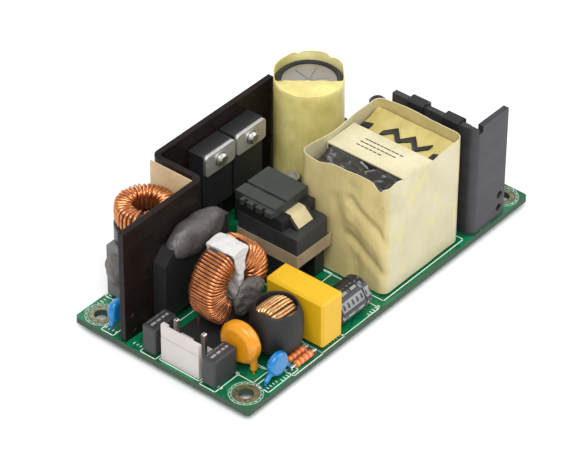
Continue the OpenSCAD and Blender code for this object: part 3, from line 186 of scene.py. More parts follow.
class Finish(Tree):
    """One procedural material, made on the object's own coordinates in millimetres."""

    def __init__(self, name):
        self.material = bpy.data.materials.new(name)
        self.material.use_nodes = True
        self.tree = self.material.node_tree
        self.shader = self.tree.nodes["Principled BSDF"]
        place = self.node("ShaderNodeTexCoord", out="Object")
        self.mm = self.node("ShaderNodeVectorMath", {"operation": "SCALE"}, Vector=place, Scale=PER_METRE)
        self.x, self.y, self.z = self.split("ShaderNodeSeparateXYZ", self.mm)

    def stretched(self, factors):
        made = self.tree.nodes.new("ShaderNodeVectorMath")
        made.operation = "MULTIPLY"
        put(self.tree, made.inputs[0], self.mm)
        made.inputs[1].default_value = factors
        return Sock(self.tree, made.outputs[0])

    def noise(self, scale, detail=3.0, rough=0.55, at=None, stretch=None, distort=0.0):
        """Soft noise from 0 to 1; scale is in turns per millimetre."""
        if stretch:
            at = self.stretched(stretch)
        return self.node("ShaderNodeTexNoise", {"noise_dimensions": "3D"}, "Fac", Vector=at or self.mm, Scale=scale,
                         Detail=detail, Roughness=rough, Distortion=distort)

    def cells(self, scale, out="Distance", at=None):
        return self.node("ShaderNodeTexVoronoi", {"feature": "F1"}, out, Vector=at or self.mm, Scale=scale)

    def mix(self, factor, a, b):
        made = self.tree.nodes.new("ShaderNodeMix")
        made.data_type = "RGBA"
        made.clamp_factor = True
        put(self.tree, made.inputs["Factor"], factor)
        put(self.tree, made.inputs[6], a)
        put(self.tree, made.inputs[7], b)
        return Sock(self.tree, made.outputs[2])

    def normal(self, axis):
        facing = self.node("ShaderNodeNewGeometry", out="Normal")
        return self.split("ShaderNodeSeparateXYZ", facing)["XYZ".index(axis)]

    def bump(self, height, strength=0.3, distance=0.1):
        """A bump whose distance is in millimetres."""
        return self.node("ShaderNodeBump", Strength=strength, Distance=distance * MM, Height=height)

    def set(self, **values):
        for key, value in values.items():
            put(self.tree, self.shader.inputs[key.replace("_", " ")], value)
        return self.material


def shade(colour, factor):
    return tuple(min(1.0, c * factor) for c in colour)


def wear(f, colour, spread=0.25, scale=0.35):
    """A colour that drifts a little lighter and darker over the surface."""
    drift = f.noise(scale, 4.0)
    return f.mix(drift, shade(colour, 1.0 - spread), shade(colour, 1.0 + spread))


def anodised(name, colour, gloss=0.34, mirror=0.3):
    f = Finish(name)
    grain = f.noise(2.2, 3.0, stretch=(0.25, 0.25, 2.0))
    cloud = f.noise(0.12, 4.0)
    # streak: paler horizontal bands on the sheet, a painted reflection of the copper windings in the glossy black
    streak = f.noise(0.22, 4.0, 0.6, stretch=(0.6, 0.6, 2.2), distort=0.6).over(0.52, 0.3)
    base = f.mix(cloud, shade(colour, 0.6), shade(colour, 1.3))
    base = f.mix(streak * 0.45, base, shade(colour, 2.4))
    return f.set(Base_Color=base, Metallic=0.0, Roughness=gloss + cloud * 0.12 + grain * 0.08,
                 Specular_IOR_Level=mirror, Normal=f.bump(grain, 0.12, 0.02))


def moulded(name, colour, rough=0.5, grain=3.0, depth=0.03, spread=0.12, coat=0.0):
    f = Finish(name)
    fine = f.noise(grain, 3.0)
    dust = f.noise(1.1, 6.0, 0.75).over(0.66, 0.1)
    base = f.mix(dust * 0.18, wear(f, colour, spread), shade(colour, 1.6))
    return f.set(Base_Color=base, Roughness=rough + fine * 0.14 + dust * 0.08, Coat_Weight=coat,
                 Normal=f.bump(fine, 0.35, depth))


def metal(name, colour, rough=0.28, scratch=(0.4, 4.0, 4.0)):
    f = Finish(name)
    lines = f.noise(1.6, 4.0, stretch=scratch)
    cloud = f.noise(0.6, 4.0)
    base = f.mix(cloud, shade(colour, 0.78), shade(colour, 1.12))
    return f.set(Base_Color=base, Metallic=1.0, Roughness=rough + lines * 0.16 + cloud * 0.08,
                 Normal=f.bump(lines, 0.12, 0.02))


TRACK_SCALE = 0.16


def solder_mask():
    """Green mask over copper: tracks show as paler bands, the cut edge as bare laminate."""
    f = Finish("solder_mask")
    plane = f.point(f.x, f.y * 1.6, 0.0)
    copper = f.split("ShaderNodeSeparateColor", f.cells(TRACK_SCALE, "Color", plane))[0].over(0.45)
    rim = f.node("ShaderNodeTexVoronoi", {"feature": "DISTANCE_TO_EDGE"}, "Distance", Vector=plane, Scale=TRACK_SCALE)
    gap = rim.under(0.045, 0.01)
    pour = copper * (1.0 - gap)
    cloud = f.noise(0.25, 4.0)
    side = f.normal("Z").abs().under(0.5)
    base = f.mix(pour, (0.001, 0.085, 0.032), (0.002, 0.165, 0.062))
    base = f.mix(cloud * 0.3, base, (0.004, 0.22, 0.085))
    laminate = f.mix(f.noise(3.0, 3.0, stretch=(1.0, 1.0, 6.0)), (0.010, 0.034, 0.021), (0.060, 0.100, 0.062))
    return f.set(Base_Color=f.mix(side, base, laminate), Roughness=0.3 + side * 0.4 + cloud * 0.06,
                 Normal=f.bump(pour + f.noise(4.0, 2.0) * 0.15, 0.35, 0.04))


def silk_print():
    f = Finish("silk_print")
    worn = f.noise(3.2, 4.0)
    return f.set(Base_Color=f.mix(worn, (0.60, 0.72, 0.62), (0.84, 0.90, 0.84)), Roughness=0.55 + worn * 0.1)


def plated_copper():
    f = Finish("plated_copper")
    blotch = f.noise(1.4, 5.0)
    base = f.mix(blotch.over(0.45, 0.3), (0.12, 0.105, 0.055), (0.36, 0.34, 0.22))
    return f.set(Base_Color=base, Metallic=0.85, Roughness=0.3 + blotch * 0.25, Normal=f.bump(blotch, 0.4, 0.05))


def enamelled_wire(name, light, dark):
    """Copper wire under clear enamel: noise mixes a lit and a shaded copper colour along it, painted light and shade.
    """
    f = Finish(name)
    drift = f.noise(0.55, 3.0).over(0.5, 0.5)
    fleck = f.noise(5.0, 3.0)
    # Painted light and shade: dark and light are the shaded and the lit copper colour, mixed by noise
    base = f.mix(drift * 0.75 + fleck * 0.35, dark, light)
    return f.set(Base_Color=base, Metallic=0.85, Roughness=0.2 + fleck * 0.14, Coat_Weight=0.12, Coat_Roughness=0.12)


def ferrite(name, colour):
    f = Finish(name)
    speck = f.cells(2.2)
    chalk = f.noise(0.45, 7.0, 0.72, distort=0.6).over(0.56, 0.18)
    base = f.mix(chalk * 0.35, wear(f, colour, 0.2), shade(colour, 2.4))
    return f.set(Base_Color=base, Roughness=0.52 + chalk * 0.2, Normal=f.bump(speck + f.noise(2.6, 4.0), 0.3, 0.06))


def film_tape(name, light, dark, green, rough=0.3, painted_side_shade=False, pale_from=None):
    """Thin yellow tape: crease lines, cloudy glue under it and a soft sheen, and on request painted shade on the faces
    that look toward -X.
    """
    f = Finish(name)
    cloud = f.noise(0.16, 5.0, 0.6)
    crease = f.noise(0.35, 3.0, stretch=(1.6, 1.6, 0.35), distort=1.6)
    fine = f.noise(1.5, 5.0, 0.65, distort=0.8)
    streak = f.noise(0.9, 2.0, stretch=(2.2, 2.2, 0.18)).over(0.62, 0.1)
    base = f.mix(cloud.over(0.5, 0.5), dark, light)
    base = f.mix(streak * 0.3, base, green)
    base = f.mix(fine.over(0.63, 0.2) * 0.15, base, shade(light, 1.1))
    if painted_side_shade:
        # Painted shade: faces that look toward -X take darker, greyer tan colours; glow adds paler yellow patches on
        # the other faces only
        shaded = f.normal("X").under(-0.35, 0.5)
        base = f.mix(shaded * 0.8, base, f.mix(cloud.over(0.5, 0.5), (0.46, 0.365, 0.135), (0.60, 0.49, 0.205)))
        glow = f.noise(0.13, 2.0, at=f.point(f.x, f.y + 40.0, f.z * 0.8)).over(0.6, 0.06)
        base = f.mix(glow * (1.0 - shaded) * 0.4, base, (0.64, 0.55, 0.22))
    if pale_from is not None:
        pale = f.x.over(pale_from, 5.0) * f.noise(0.2, 3.0).over(0.42, 0.3)
        base = f.mix(pale * 0.75, base, (0.88, 0.80, 0.44))
    rough_map = rough + cloud * 0.16 + fine * 0.06
    return f.set(Base_Color=base, Roughness=rough_map, Coat_Weight=0.12,
                 Normal=f.bump(crease * 1.4 + fine * 0.2, 0.4, 0.2))


def silicone(name, colour):
    f = Finish(name)
    swirl = f.noise(0.55, 4.0, 0.6, distort=1.8)
    wet = f.noise(0.9, 5.0, 0.65, distort=2.4).over(0.6, 0.06)
    base = f.mix(swirl, shade(colour, 0.72), shade(colour, 1.35))
    return f.set(Base_Color=base, Roughness=0.3 + swirl * 0.14 - wet * 0.24, Coat_Weight=wet * 0.6,
                 Normal=f.bump(swirl + wet * 0.25, 0.6, 0.3))


def dipped(name, colour, dark):
    f = Finish(name)
    flow = f.noise(0.35, 3.0)
    fine = f.noise(3.0, 3.0)
    return f.set(Base_Color=f.mix(flow, dark, colour), Roughness=0.2 + flow * 0.1, Coat_Weight=0.4,
                 Normal=f.bump(flow + fine * 0.12, 0.25, 0.15))


def banded_resistor():
    """Lacquered body with plain colour bands, and tinned ends by their distance from the middle."""
    f = Finish("banded_resistor")
    low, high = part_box("bleed_resistors")
    middle = (low[0] + high[0]) * 500.0
    away = f.x - middle
    body = away.abs().under(2.6)
    wave = (away * 4.6).sin().over(0.35, 0.1)
    flow = f.noise(0.8, 3.0)
    bands = f.mix(wave, f.mix(flow, (0.52, 0.07, 0.04), (0.66, 0.13, 0.06)), (0.75, 0.30, 0.05))
    return f.set(Base_Color=f.mix(body, (0.6, 0.6, 0.6), bands), Metallic=0.9 - body * 0.9, Roughness=0.28 + flow * 0.1)


def can_sleeve(name, centre, radius, top, stripe, along="z", sleeve=(0.012, 0.013, 0.018)):
    """Shrink sleeve with a bare aluminium end inside its rim, and a pale stripe where the real one has its mark."""
    f = Finish(name)
    if along == "x":
        a, b, end = f.y - centre[0], f.z - centre[1], top - f.x
    else:
        a, b, end = f.x - centre[0], f.y - centre[1], top - f.z
    out = (a * a + b * b).math("SQRT")
    disc = out.under(radius * 0.79) * end.under(0.9)
    fine = f.noise(0.9, 4.0)
    base = f.mix(fine, shade(sleeve, 0.8), shade(sleeve, 1.5))
    facing = (a * stripe[0] + b * stripe[1]) / radius
    band = facing.over(0.955)
    dash = (end * 4.2).sin().over(0.3) * facing.over(0.985)
    marks = facing.over(0.55) * facing.under(0.9) * (facing * 26.0).sin().over(0.2)
    marks = marks * f.noise(1.5, 1.0, at=f.point(end, (facing * 4.1).math("FLOOR") * 5.0, 0.0)).over(0.53)
    base = f.mix(band, base, f.mix(dash, (0.20, 0.21, 0.225), sleeve))
    base = f.mix(marks * 0.7, base, (0.36, 0.36, 0.35))
    brushed = f.noise(2.5, 3.0)
    base = f.mix(disc, base, f.mix(brushed, (0.36, 0.34, 0.31), (0.52, 0.49, 0.45)))
    return f.set(Base_Color=base, Metallic=disc * 0.9, Roughness=0.26 + disc * 0.16 + fine * 0.08,
                 Coat_Weight=0.1, Normal=f.bump(fine, 0.2, 0.05))


def boxed_fuse(name, node):
    """Moulded black case; its top carries plain pale bars in place of marks."""
    f = Finish(name)
    low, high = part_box(node)
    top = f.z.over(high[2] * PER_METRE - 0.2) * f.normal("Z").over(0.9)
    u = f.x - low[0] * PER_METRE
    v = f.y - low[1] * PER_METRE
    rows = (v * 4.3).sin().over(0.25) * v.over(0.7) * v.under(3.1)
    breaks = f.noise(2.1, 1.0, at=f.point(f.x, (v * 0.68).math("FLOOR") * 7.0, 0.0)).over(0.42)
    marks = top * rows * breaks * u.over(1.0) * u.under(6.6)
    fine = f.noise(3.4, 3.0)
    base = f.mix(f.noise(0.5, 4.0), (0.020, 0.020, 0.022), (0.040, 0.040, 0.043))
    base = f.mix(marks * 0.55, base, (0.5, 0.5, 0.48))
    return f.set(Base_Color=base, Roughness=0.46 + fine * 0.14, Normal=f.bump(fine, 0.4, 0.03))


# ---------------------------------------------------------------- mesh tools

def add_object(name, mesh, material, slot, replaced=()):
    mesh.materials.clear()
    mesh.materials.append(material)
    made = bpy.data.objects.new(name, mesh)
    bpy.context.scene.collection.objects.link(made)
    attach(made, "root")
    if replaced:
        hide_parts(*replaced)
    return made


def stand_in(node, name, mesh, material):
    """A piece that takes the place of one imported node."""
    return add_object(name, mesh, material, slot_of(node), (node,))


def slot_of(node):
    for part in frame["record"]["subparts"]:
        if part["node"] == node:
            return part["material_slot"]
    raise ValueError(node)


def finish_node(node, material):
    made = NODES[node]
    made.data.materials.clear()
    made.data.materials.append(material)


def mesh_from(bm, name):
    mesh = bpy.data.meshes.new(name)
    bm.to_mesh(mesh)
    bm.free()
    return mesh


def smooth(mesh, angle=40.0):
    mesh.shade_smooth()
    mesh.set_sharp_from_angle(angle=math.radians(angle))


def merged_copy(node):
    """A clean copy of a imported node, with its loose triangles joined and flat faces made whole."""
    bm = bmesh.new()
    bm.from_mesh(NODES[node].data)
    bmesh.ops.remove_doubles(bm, verts=bm.verts, dist=1e-6)
    bmesh.ops.dissolve_limit(bm, angle_limit=math.radians(1.0), verts=bm.verts, edges=bm.edges)
    return bm


def modified(mesh, name, *stack):
    """Applies a stack of (type, settings) modifiers to a mesh and returns the result."""
    work = bpy.data.objects.new(name + "_work", mesh)
    bpy.context.scene.collection.objects.link(work)
    for kind, settings in stack:
        modifier = work.modifiers.new(kind, kind)
        for key, value in settings.items():
            setattr(modifier, key, value)
    graph = bpy.context.evaluated_depsgraph_get()
    result = bpy.data.meshes.new_from_object(work.evaluated_get(graph))
    bpy.data.objects.remove(work)
    return result


def softened(node, name, material, width=0.15, segments=2, corner=0.0):
    """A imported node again, with its sharp edges rounded; corner rounds the long upright edges on its output side."""
    bm = merged_copy(node)
    if corner:
        far = max(v.co.x for v in bm.verts)
        upright = [e for e in bm.edges if e.calc_length() > 1.5 * MM and e.is_convex
                   and abs((e.verts[0].co - e.verts[1].co).normalized().z) > 0.99
                   and all(v.co.x > far - 0.05 * MM for v in e.verts)]
        bmesh.ops.bevel(bm, geom=upright, offset=corner * MM, segments=3, affect="EDGES", profile=0.5)
    mesh = mesh_from(bm, name)
    mesh = modified(mesh, name, ("BEVEL", {"width": width * MM, "segments": segments, "limit_method": "ANGLE",
                                           "angle_limit": math.radians(40.0), "use_clamp_overlap": True,
                                           "harden_normals": False}))
    smooth(mesh, 35.0)
    mesh = modified(mesh, name, ("WEIGHTED_NORMAL", {"keep_sharp": True}))
    return stand_in(node, name, mesh, material)


def solid_sheet(name, rows, thickness, angle, before=(), **closed):
    """A skin of points given a thickness in millimetres on its inner side."""
    mesh = grid_mesh(name, rows, **closed)
    mesh = modified(mesh, name, *before, ("SOLIDIFY", {"thickness": thickness * MM, "offset": -1.0}))
    smooth(mesh, angle)
    return mesh


def grid_mesh(name, rows, closed_u=True, closed_v=False):
    """Skins rows of points with quads; a row is a loop when closed_u is set."""
    bm = bmesh.new()
    verts = [[bm.verts.new(p) for p in row] for row in rows]
    count = len(rows[0])
    for i in range(len(rows) - (0 if closed_v else 1)):
        a, b = verts[i], verts[(i + 1) % len(rows)]
        for k in range(count - (0 if closed_u else 1)):
            e = (k + 1) % count
            bm.faces.new((a[k], a[e], b[e], b[k]))
    bmesh.ops.recalc_face_normals(bm, faces=bm.faces)
    return mesh_from(bm, name)


def joined(name, meshes):
    bm = bmesh.new()
    for mesh in meshes:
        bm.from_mesh(mesh)
    return mesh_from(bm, name)


def strips(name, lines, z, width, height=0.03):
    """Thin raised strips of print along open or closed lines of (x, y), in millimetres."""
    bm = bmesh.new()
    for points in lines:
        for (x0, y0), (x1, y1) in zip(points, points[1:]):
            along = Vector((x1 - x0, y1 - y0, 0.0))
            if along.length < 1e-6:
                continue
            along.normalize()
            side = Vector((-along.y, along.x, 0.0)) * width / 2
            a, b = Vector((x0, y0, 0.0)) - along * width / 2, Vector((x1, y1, 0.0)) + along * width / 2
            corners = [a - side, b - side, b + side, a + side]
            low = [bm.verts.new((c + Vector((0, 0, z))) * MM) for c in corners]
            high = [bm.verts.new((c + Vector((0, 0, z + height))) * MM) for c in corners]
            bm.faces.new(high)
            bm.faces.new(reversed(low))
            for k in range(4):
                e = (k + 1) % 4
                bm.faces.new((low[k], low[e], high[e], high[k]))
    return mesh_from(bm, name)


def circle_line(cx, cy, r, count=40, start=0.0, sweep=360.0):
    return [(cx + r * math.cos(math.radians(start + sweep * i / count)),
             cy + r * math.sin(math.radians(start + sweep * i / count))) for i in range(count + 1)]


def rect_line(x0, x1, y0, y1):
    return [(x0, y0), (x1, y0), (x1, y1), (x0, y1), (x0, y0)]


# ---------------------------------------------------------------- geometry nodes

GEOMETRY_TYPES = {"float": "NodeSocketFloat", "int": "NodeSocketInt", "material": "NodeSocketMaterial"}


class Pattern(Tree):
    """A geometry node tree with named inputs."""

    def __init__(self, name, inputs):
        self.tree = bpy.data.node_groups.new(name, "GeometryNodeTree")
        self.ids = {}
        self.tree.interface.new_socket("Geometry", in_out="INPUT", socket_type="NodeSocketGeometry")
        for label, kind, value in inputs:
            made = self.tree.interface.new_socket(label, in_out="INPUT", socket_type=GEOMETRY_TYPES[kind])
            if value is not None:
                made.default_value = value
            self.ids[label] = made.identifier
        self.tree.interface.new_socket("Geometry", in_out="OUTPUT", socket_type="NodeSocketGeometry")
        self.inputs = self.tree.nodes.new("NodeGroupInput")
        self.output = self.tree.nodes.new("NodeGroupOutput")

    def value(self, label):
        return Sock(self.tree, self.inputs.outputs[label])

    def end(self, geometry):
        real = self.node("GeometryNodeRealizeInstances", Geometry=geometry)
        dressed = self.node("GeometryNodeSetMaterial", Geometry=real, Material=self.value("Finish"))
        self.tree.links.new(dressed.out, self.output.inputs[0])

    def mesh(self, name, **values):
        """Runs the tree on an empty mesh and returns the result as a plain mesh."""
        work = bpy.data.objects.new(name, bpy.data.meshes.new(name))
        bpy.context.scene.collection.objects.link(work)
        modifier = work.modifiers.new("pattern", "NODES")
        modifier.node_group = self.tree
        for label, value in values.items():
            modifier[self.ids[label.replace("_", " ")]] = value
        graph = bpy.context.evaluated_depsgraph_get()
        result = bpy.data.meshes.new_from_object(work.evaluated_get(graph))
        bpy.data.objects.remove(work)
        return result


WIRE_STEPS = 22.0


def wound_wire_pattern():
    """Wire wound round a ring: one helix on a rounded section, swept with a round profile."""
    p = Pattern("wound_wire", [("Ring radius", "float", 7.0), ("Section width", "float", 4.0),
                               ("Section height", "float", 6.0), ("Squareness", "float", 0.5),
                               ("Turns", "int", 20), ("Start angle", "float", 0.0), ("End angle", "float", 5.0),
                               ("Wire radius", "float", 0.4), ("Stack", "float", 0.0), ("Wander", "float", 0.1),
                               ("Seed", "int", 1), ("Finish", "material", None)])
    line = p.node("GeometryNodeCurvePrimitiveLine")
    count = p.value("Turns") * WIRE_STEPS + 1.0
    curve = p.node("GeometryNodeResampleCurve", Curve=line, Count=count)
    t = p.node("GeometryNodeSplineParameter", out="Factor")
    turn = t * p.value("Turns")
    wobble, slow = (p.node("ShaderNodeTexNoise", {"noise_dimensions": "1D"}, "Fac",
                           W=turn * pace + p.value("Seed") * shift, Scale=1.0, Detail=1.0)
                    for pace, shift in ((1.7, 31.7), (0.45, 7.3)))
    theta = p.value("Start angle") + (p.value("End angle") - p.value("Start angle")) * t \
        + (wobble - 0.5) * p.value("Wander")
    phi = turn * (2.0 * math.pi)
    cos, sin = phi.math("COSINE"), phi.sin()
    c = cos.math("SIGN") * cos.abs().math("POWER", p.value("Squareness"))
    s = sin.math("SIGN") * sin.abs().math("POWER", p.value("Squareness"))
    layer = turn.math("ROUND").math("PINGPONG", 1.0)
    inner = (1.0 - c) * 0.5
    grow = (slow - 0.5) * 0.3
    r = p.value("Ring radius") + p.value("Section width") * 0.5 * c - inner * layer * p.value("Stack") + grow * c
    h = p.value("Section height") * 0.5 * s + grow * s
    place = p.point(r * theta.math("COSINE") * MM, r * theta.sin() * MM, h * MM)
    curve = p.node("GeometryNodeSetPosition", Geometry=curve, Position=place)
    profile = p.node("GeometryNodeCurvePrimitiveCircle", {"mode": "RADIUS"}, Resolution=8,
                     Radius=p.value("Wire radius") * MM)
    p.end(p.node("GeometryNodeCurveToMesh", Curve=curve, Profile_Curve=profile, Fill_Caps=True))
    return p


# ---------------------------------------------------------------- forms of this supply

def rough_at(x, y, z):
    """Smooth noise of about -1 to 1 at a place."""
    return noise.noise(Vector((x, y, z)))


def bump_at(value, centre, width):
    """A smooth hump of height 1 round centre."""
    d = (value - centre) / width
    return math.exp(-d * d)


def ridged(x, y, z, scale, seed=0.0):
    """Crease-like noise from 0 in the folds to 1 on the flats."""
    n = rough_at(x * scale + seed, y * scale + seed * 1.7, z * scale)
    m = rough_at(x * scale * 2.3 + seed, y * scale * 2.3, z * scale * 2.3 + 5.0)
    return min(1.0, abs(n) * 2.2 + abs(m) * 0.7)


def loop_point(s, x0, x1, y0, y1, r):
    """A point and its outward direction on a rounded rectangle, for s from 0 to 1, from the front left corner."""
    w, d = x1 - x0 - 2 * r, y1 - y0 - 2 * r
    arc = math.pi * r / 2
    parts = (w, arc, d, arc, w, arc, d, arc)
    s = (s % 1.0) * sum(parts)
    corners = ((x1 - r, y0 + r, -90.0), (x1 - r, y1 - r, 0.0), (x0 + r, y1 - r, 90.0), (x0 + r, y0 + r, 180.0))
    starts = ((x0 + r, y0, 1, 0, 0, -1), (x1, y0 + r, 0, 1, 1, 0), (x1 - r, y1, -1, 0, 0, 1),
              (x0, y1 - r, 0, -1, -1, 0))
    for i, part in enumerate(parts):
        if s <= part or i == 7:
            if i % 2 == 0:
                sx, sy, dx, dy, nx, ny = starts[i // 2]
                return sx + dx * s, sy + dy * s, nx, ny
            cx, cy, a0 = corners[i // 2]
            a = math.radians(a0) + s / r
            return cx + r * math.cos(a), cy + r * math.sin(a), math.cos(a), math.sin(a)
        s -= part


RIM_RISE = 29.5
# Each tear or lift is its place in shares of the wrap's half sizes, its width and its rise.
RIM_TEARS = ((-1.0, -0.8, 1.1, -1.3), (-1.0, 0.6, 3.0, -1.1), (-1.0, -0.4, 3.5, 0.5), (-0.7, -1.0, 3.0, 0.9))
# Each fold is its start and end across and up the left face, its half width and its push.
LEFT_FOLDS = [(9.0, 11.5 + 5.0 * i, 0.5, 6.0 + 4.5 * i, 1.9, push) for i, push in enumerate((-0.8, 0.3, -0.8))] \
    + [(9.6 + 4.4 * i, 24.0 - 5.0 * i, 8.2 + 1.3 * i, 9.0 - 3.0 * i, 2.5, -0.38) for i in range(2)]


def rim_height(x, y, half_x, half_y):
    """Height of the tape's rim above the board: a slow wave round the loop, with torn dips and lifts."""
    rise = RIM_RISE + 0.75 * math.cos(2.0 * math.atan2(y / half_y, x / half_x))
    for u, v, width, lift in RIM_TEARS:
        rise += lift * bump_at(x, u * half_x, width) * bump_at(y, v * half_y, width)
    return rise


def bobbin_outlines():
    """A zigzag rib and two end tabs, as outlines of (x, y)."""
    spine = [(21.2 + (1.3 if i % 2 else -1.3), -5.0 - 2.5 * i) for i in range(6)]
    rib = [(x - 0.9, y) for x, y in spine] + [(x + 0.9, y) for x, y in reversed(spine)]
    tabs = [[(20.0 - h, y), (20.0 + h, y), (20.6 + h, y - 2.2), (20.6 - h, y - 2.2)]
            for h, y in ((1.2, -19.2), (0.9, 0.4))]
    return [rib] + tabs


def crease_at(u, v, fold):
    """Push of one straight fold at (u, v); a fold is its two ends, its half width and its push."""
    u0, v0, u1, v1, width, push = fold
    along = Vector((u1 - u0, v1 - v0))
    k = max(-0.15, min(1.15, Vector((u - u0, v - v0)).dot(along) / along.length_squared))
    away = (Vector((u, v)) - Vector((u0, v0)) - along * k).length
    return push * max(0.0, 1.0 - away / width)


def wrapped_transformer():
    low, high = map(Vector, mm_box("transformer_wrap"))
    box = (low.x, high.x, low.y, high.y)
    cx, cy = (low.x + high.x) / 2, (low.y + high.y) / 2
    top = BOARD_TOP * PER_METRE
    rows = []
    across, up = 260, 60
    for j in range(up + 1):
        v = j / up
        row = []
        for i in range(across):
            x, y, nx, ny = loop_point(i / across, *box, 2.3)
            z1 = top + rim_height(x - cx, y - cy, high.x - cx, high.y - cy)
            z1 += 0.08 * rough_at(x * 0.9, y * 0.9, 3.0)
            z = low.z + (z1 - low.z) * v
            left = max(0.0, -nx)
            h = z - top
            push = -0.3 * left * ridged(x, y * 0.8, z * 0.6, 0.09, 4.0)
            push += -0.18 * ridged(x, y, z * 0.3, 0.07, 11.0)
            for fold in LEFT_FOLDS:
                push += left * crease_at(y - box[2], h, fold)
            corner = bump_at(y, box[2] + 1.6, 3.0) * bump_at(x, box[0], 3.0)
            push -= 0.9 * corner * bump_at(h, 21.5, 6.0)
            push -= 0.35 * v ** 10 * (0.5 + 0.5 * math.sin(i * 0.16))
            row.append(((x + nx * push) * MM, (y + ny * push) * MM, z * MM))
        rows.append(row)
    return solid_sheet("transformer_tape_wrap", rows, 0.22, 60.0, (("SMOOTH", {"factor": 0.5, "iterations": 2}),))


def collared_can():
    """Tape round the can: it stands up at the back and is folded down flat over the can at the front."""
    low, high = map(Vector, mm_box("bulk_collar"))
    cx, cy = (low.x + high.x) / 2, (low.y + high.y) / 2
    r = (high.x - low.x) / 2 - 0.06
    can_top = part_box("bulk_capacitor")[1][2] * PER_METRE
    front = math.radians(219.6)
    chord = 1.7
    rows = []
    around, up, over = 216, 46, 10
    for j in range(up + over + 1):
        row = []
        for i in range(around):
            a = 2 * math.pi * i / around
            ahead = r * math.cos(a - front)
            side = r * math.sin(a - front)
            rise = min(1.0, max(0.0, (chord - ahead) / 3.4))
            ragged = 0.32 * rough_at(math.cos(a) * 3.4, math.sin(a) * 3.4, 1.0)
            ragged -= 0.7 * bump_at(side, 5.3, 0.7) + 0.55 * bump_at(side, -2.6, 0.6)
            rim = can_top + 0.34 + (1.95 + ragged) * rise * rise * (3.0 - 2.0 * rise)
            v = min(1.0, j / up)
            z = low.z + (rim - low.z) * v
            push = -0.12 * ridged(math.cos(a) * 8, math.sin(a) * 8, z * 0.3, 0.12, 3.0)
            push -= 0.16 * (1.0 - rise) * bump_at(z, can_top + 0.3, 0.45)
            if z > can_top:
                push -= 0.06 * (z - can_top) * (1.0 + math.sin(a * 5.0))
            k = max(0.0, (j - up) / over)
            if ahead > chord:
                hump = 0.22 * math.sin(math.pi * k) + 0.18 * k * rough_at(side * 0.5, k * 2.0, 4.0)
                ahead += (chord + 0.1 * math.sin(side * 1.3) - ahead) * k
                side *= 1.0 - 0.05 * k
                z += hump + 0.1 * k
            else:
                push -= 0.22 * k
                z -= 0.06 * k * k
            x = ahead * math.cos(front) - side * math.sin(front) + push * math.cos(a)
            y = ahead * math.sin(front) + side * math.cos(front) + push * math.sin(a)
            row.append(((cx + x) * MM, (cy + y) * MM, z * MM))
        rows.append(row)
    return solid_sheet("bulk_tape_collar", rows, 0.12, 60.0)


def crinkled_film():
    """Dark insulating film pushed down inside the wrap beside the core."""
    low, high = map(Vector, mm_box("transformer_wrap"))
    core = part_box("transformer_core_upper")
    top = core[1][2] * PER_METRE
    x0, x1 = low.x + 1.1, core[0][0] * PER_METRE - 0.2
    y0, y1 = low.y + 1.4, high.y - 2.0
    rows = []
    for j in range(61):
        row = []
        for i in range(31):
            u, v = i / 30.0, j / 60.0
            x, y = x0 + (x1 - x0) * u, y0 + (y1 - y0) * v
            crease = ridged(x * 1.4, y * 0.6 + x * 0.5, 0.0, 0.13, 8.0) * 1.5 + ridged(x * 0.6, y, 2.0, 0.3, 1.0) * 0.25
            z = top - 0.9 - 1.0 * math.sin(math.pi * u) + crease - 0.5 * (1 - v)
            z -= 1.4 * (bump_at(u, 0.0, 0.14) + 0.4 * bump_at(u, 1.0, 0.1))
            row.append((x * MM, y * MM, z * MM))
        rows.append(row)
    return solid_sheet("transformer_dark_film", rows, 0.1, 35.0, closed_u=False)


def flap_height(x, y, x0, x1):
    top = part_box("transformer_core_upper")[1][2] * PER_METRE
    u = max(0.0, min(1.0, (x - x0) / (x1 - x0)))
    return top - 1.5 + 1.7 * u ** 3 + 0.2 * rough_at(x * 0.4, y * 0.4, 0.0)


def flap_ends():
    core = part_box("transformer_core_upper")
    return core[1][0] * PER_METRE + 0.15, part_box("transformer_wrap")[1][0] * PER_METRE - 0.75


def inner_flaps():
    """Yellow tape turned in over the winding on the far side."""
    low, high = map(Vector, mm_box("transformer_wrap"))
    x0, x1 = flap_ends()
    y0, y1 = low.y + 0.8, high.y - 0.8
    rows = []
    for j in range(61):
        y = y0 + (y1 - y0) * j / 60.0
        xs = [x0 + (x1 - x0) * i / 16.0 for i in range(17)]
        rows.append([(x * MM, y * MM, flap_height(x, y, x0, x1) * MM) for x in xs])
    return solid_sheet("transformer_inner_flap", rows, 0.15, 50.0, closed_u=False)


def dark_shapes():
    """Parts of the black bobbin that stand up through the flap."""
    x0, x1 = flap_ends()
    bm = bmesh.new()
    for outline in bobbin_outlines():
        rings = [[bm.verts.new((x * MM, y * MM, (flap_height(x, y, x0, x1) + h) * MM)) for x, y in outline]
                 for h in (-0.3, 0.45)]
        bm.faces.new(rings[0])
        bm.faces.new(reversed(rings[1]))
        for k in range(len(outline)):
            e = (k + 1) % len(outline)
            bm.faces.new((rings[0][k], rings[1][k], rings[1][e], rings[0][e]))
    bmesh.ops.triangulate(bm, faces=[f for f in bm.faces if len(f.verts) > 4])
    bmesh.ops.recalc_face_normals(bm, faces=bm.faces)
    mesh = mesh_from(bm, "bobbin_tops")
    mesh = modified(mesh, "bobbin_tops", ("BEVEL", {"width": 0.12 * MM, "segments": 2, "limit_method": "ANGLE",
                                                    "angle_limit": math.radians(50.0)}))
    smooth(mesh, 35.0)
    return mesh


SLEEVE_GAP = 0.13


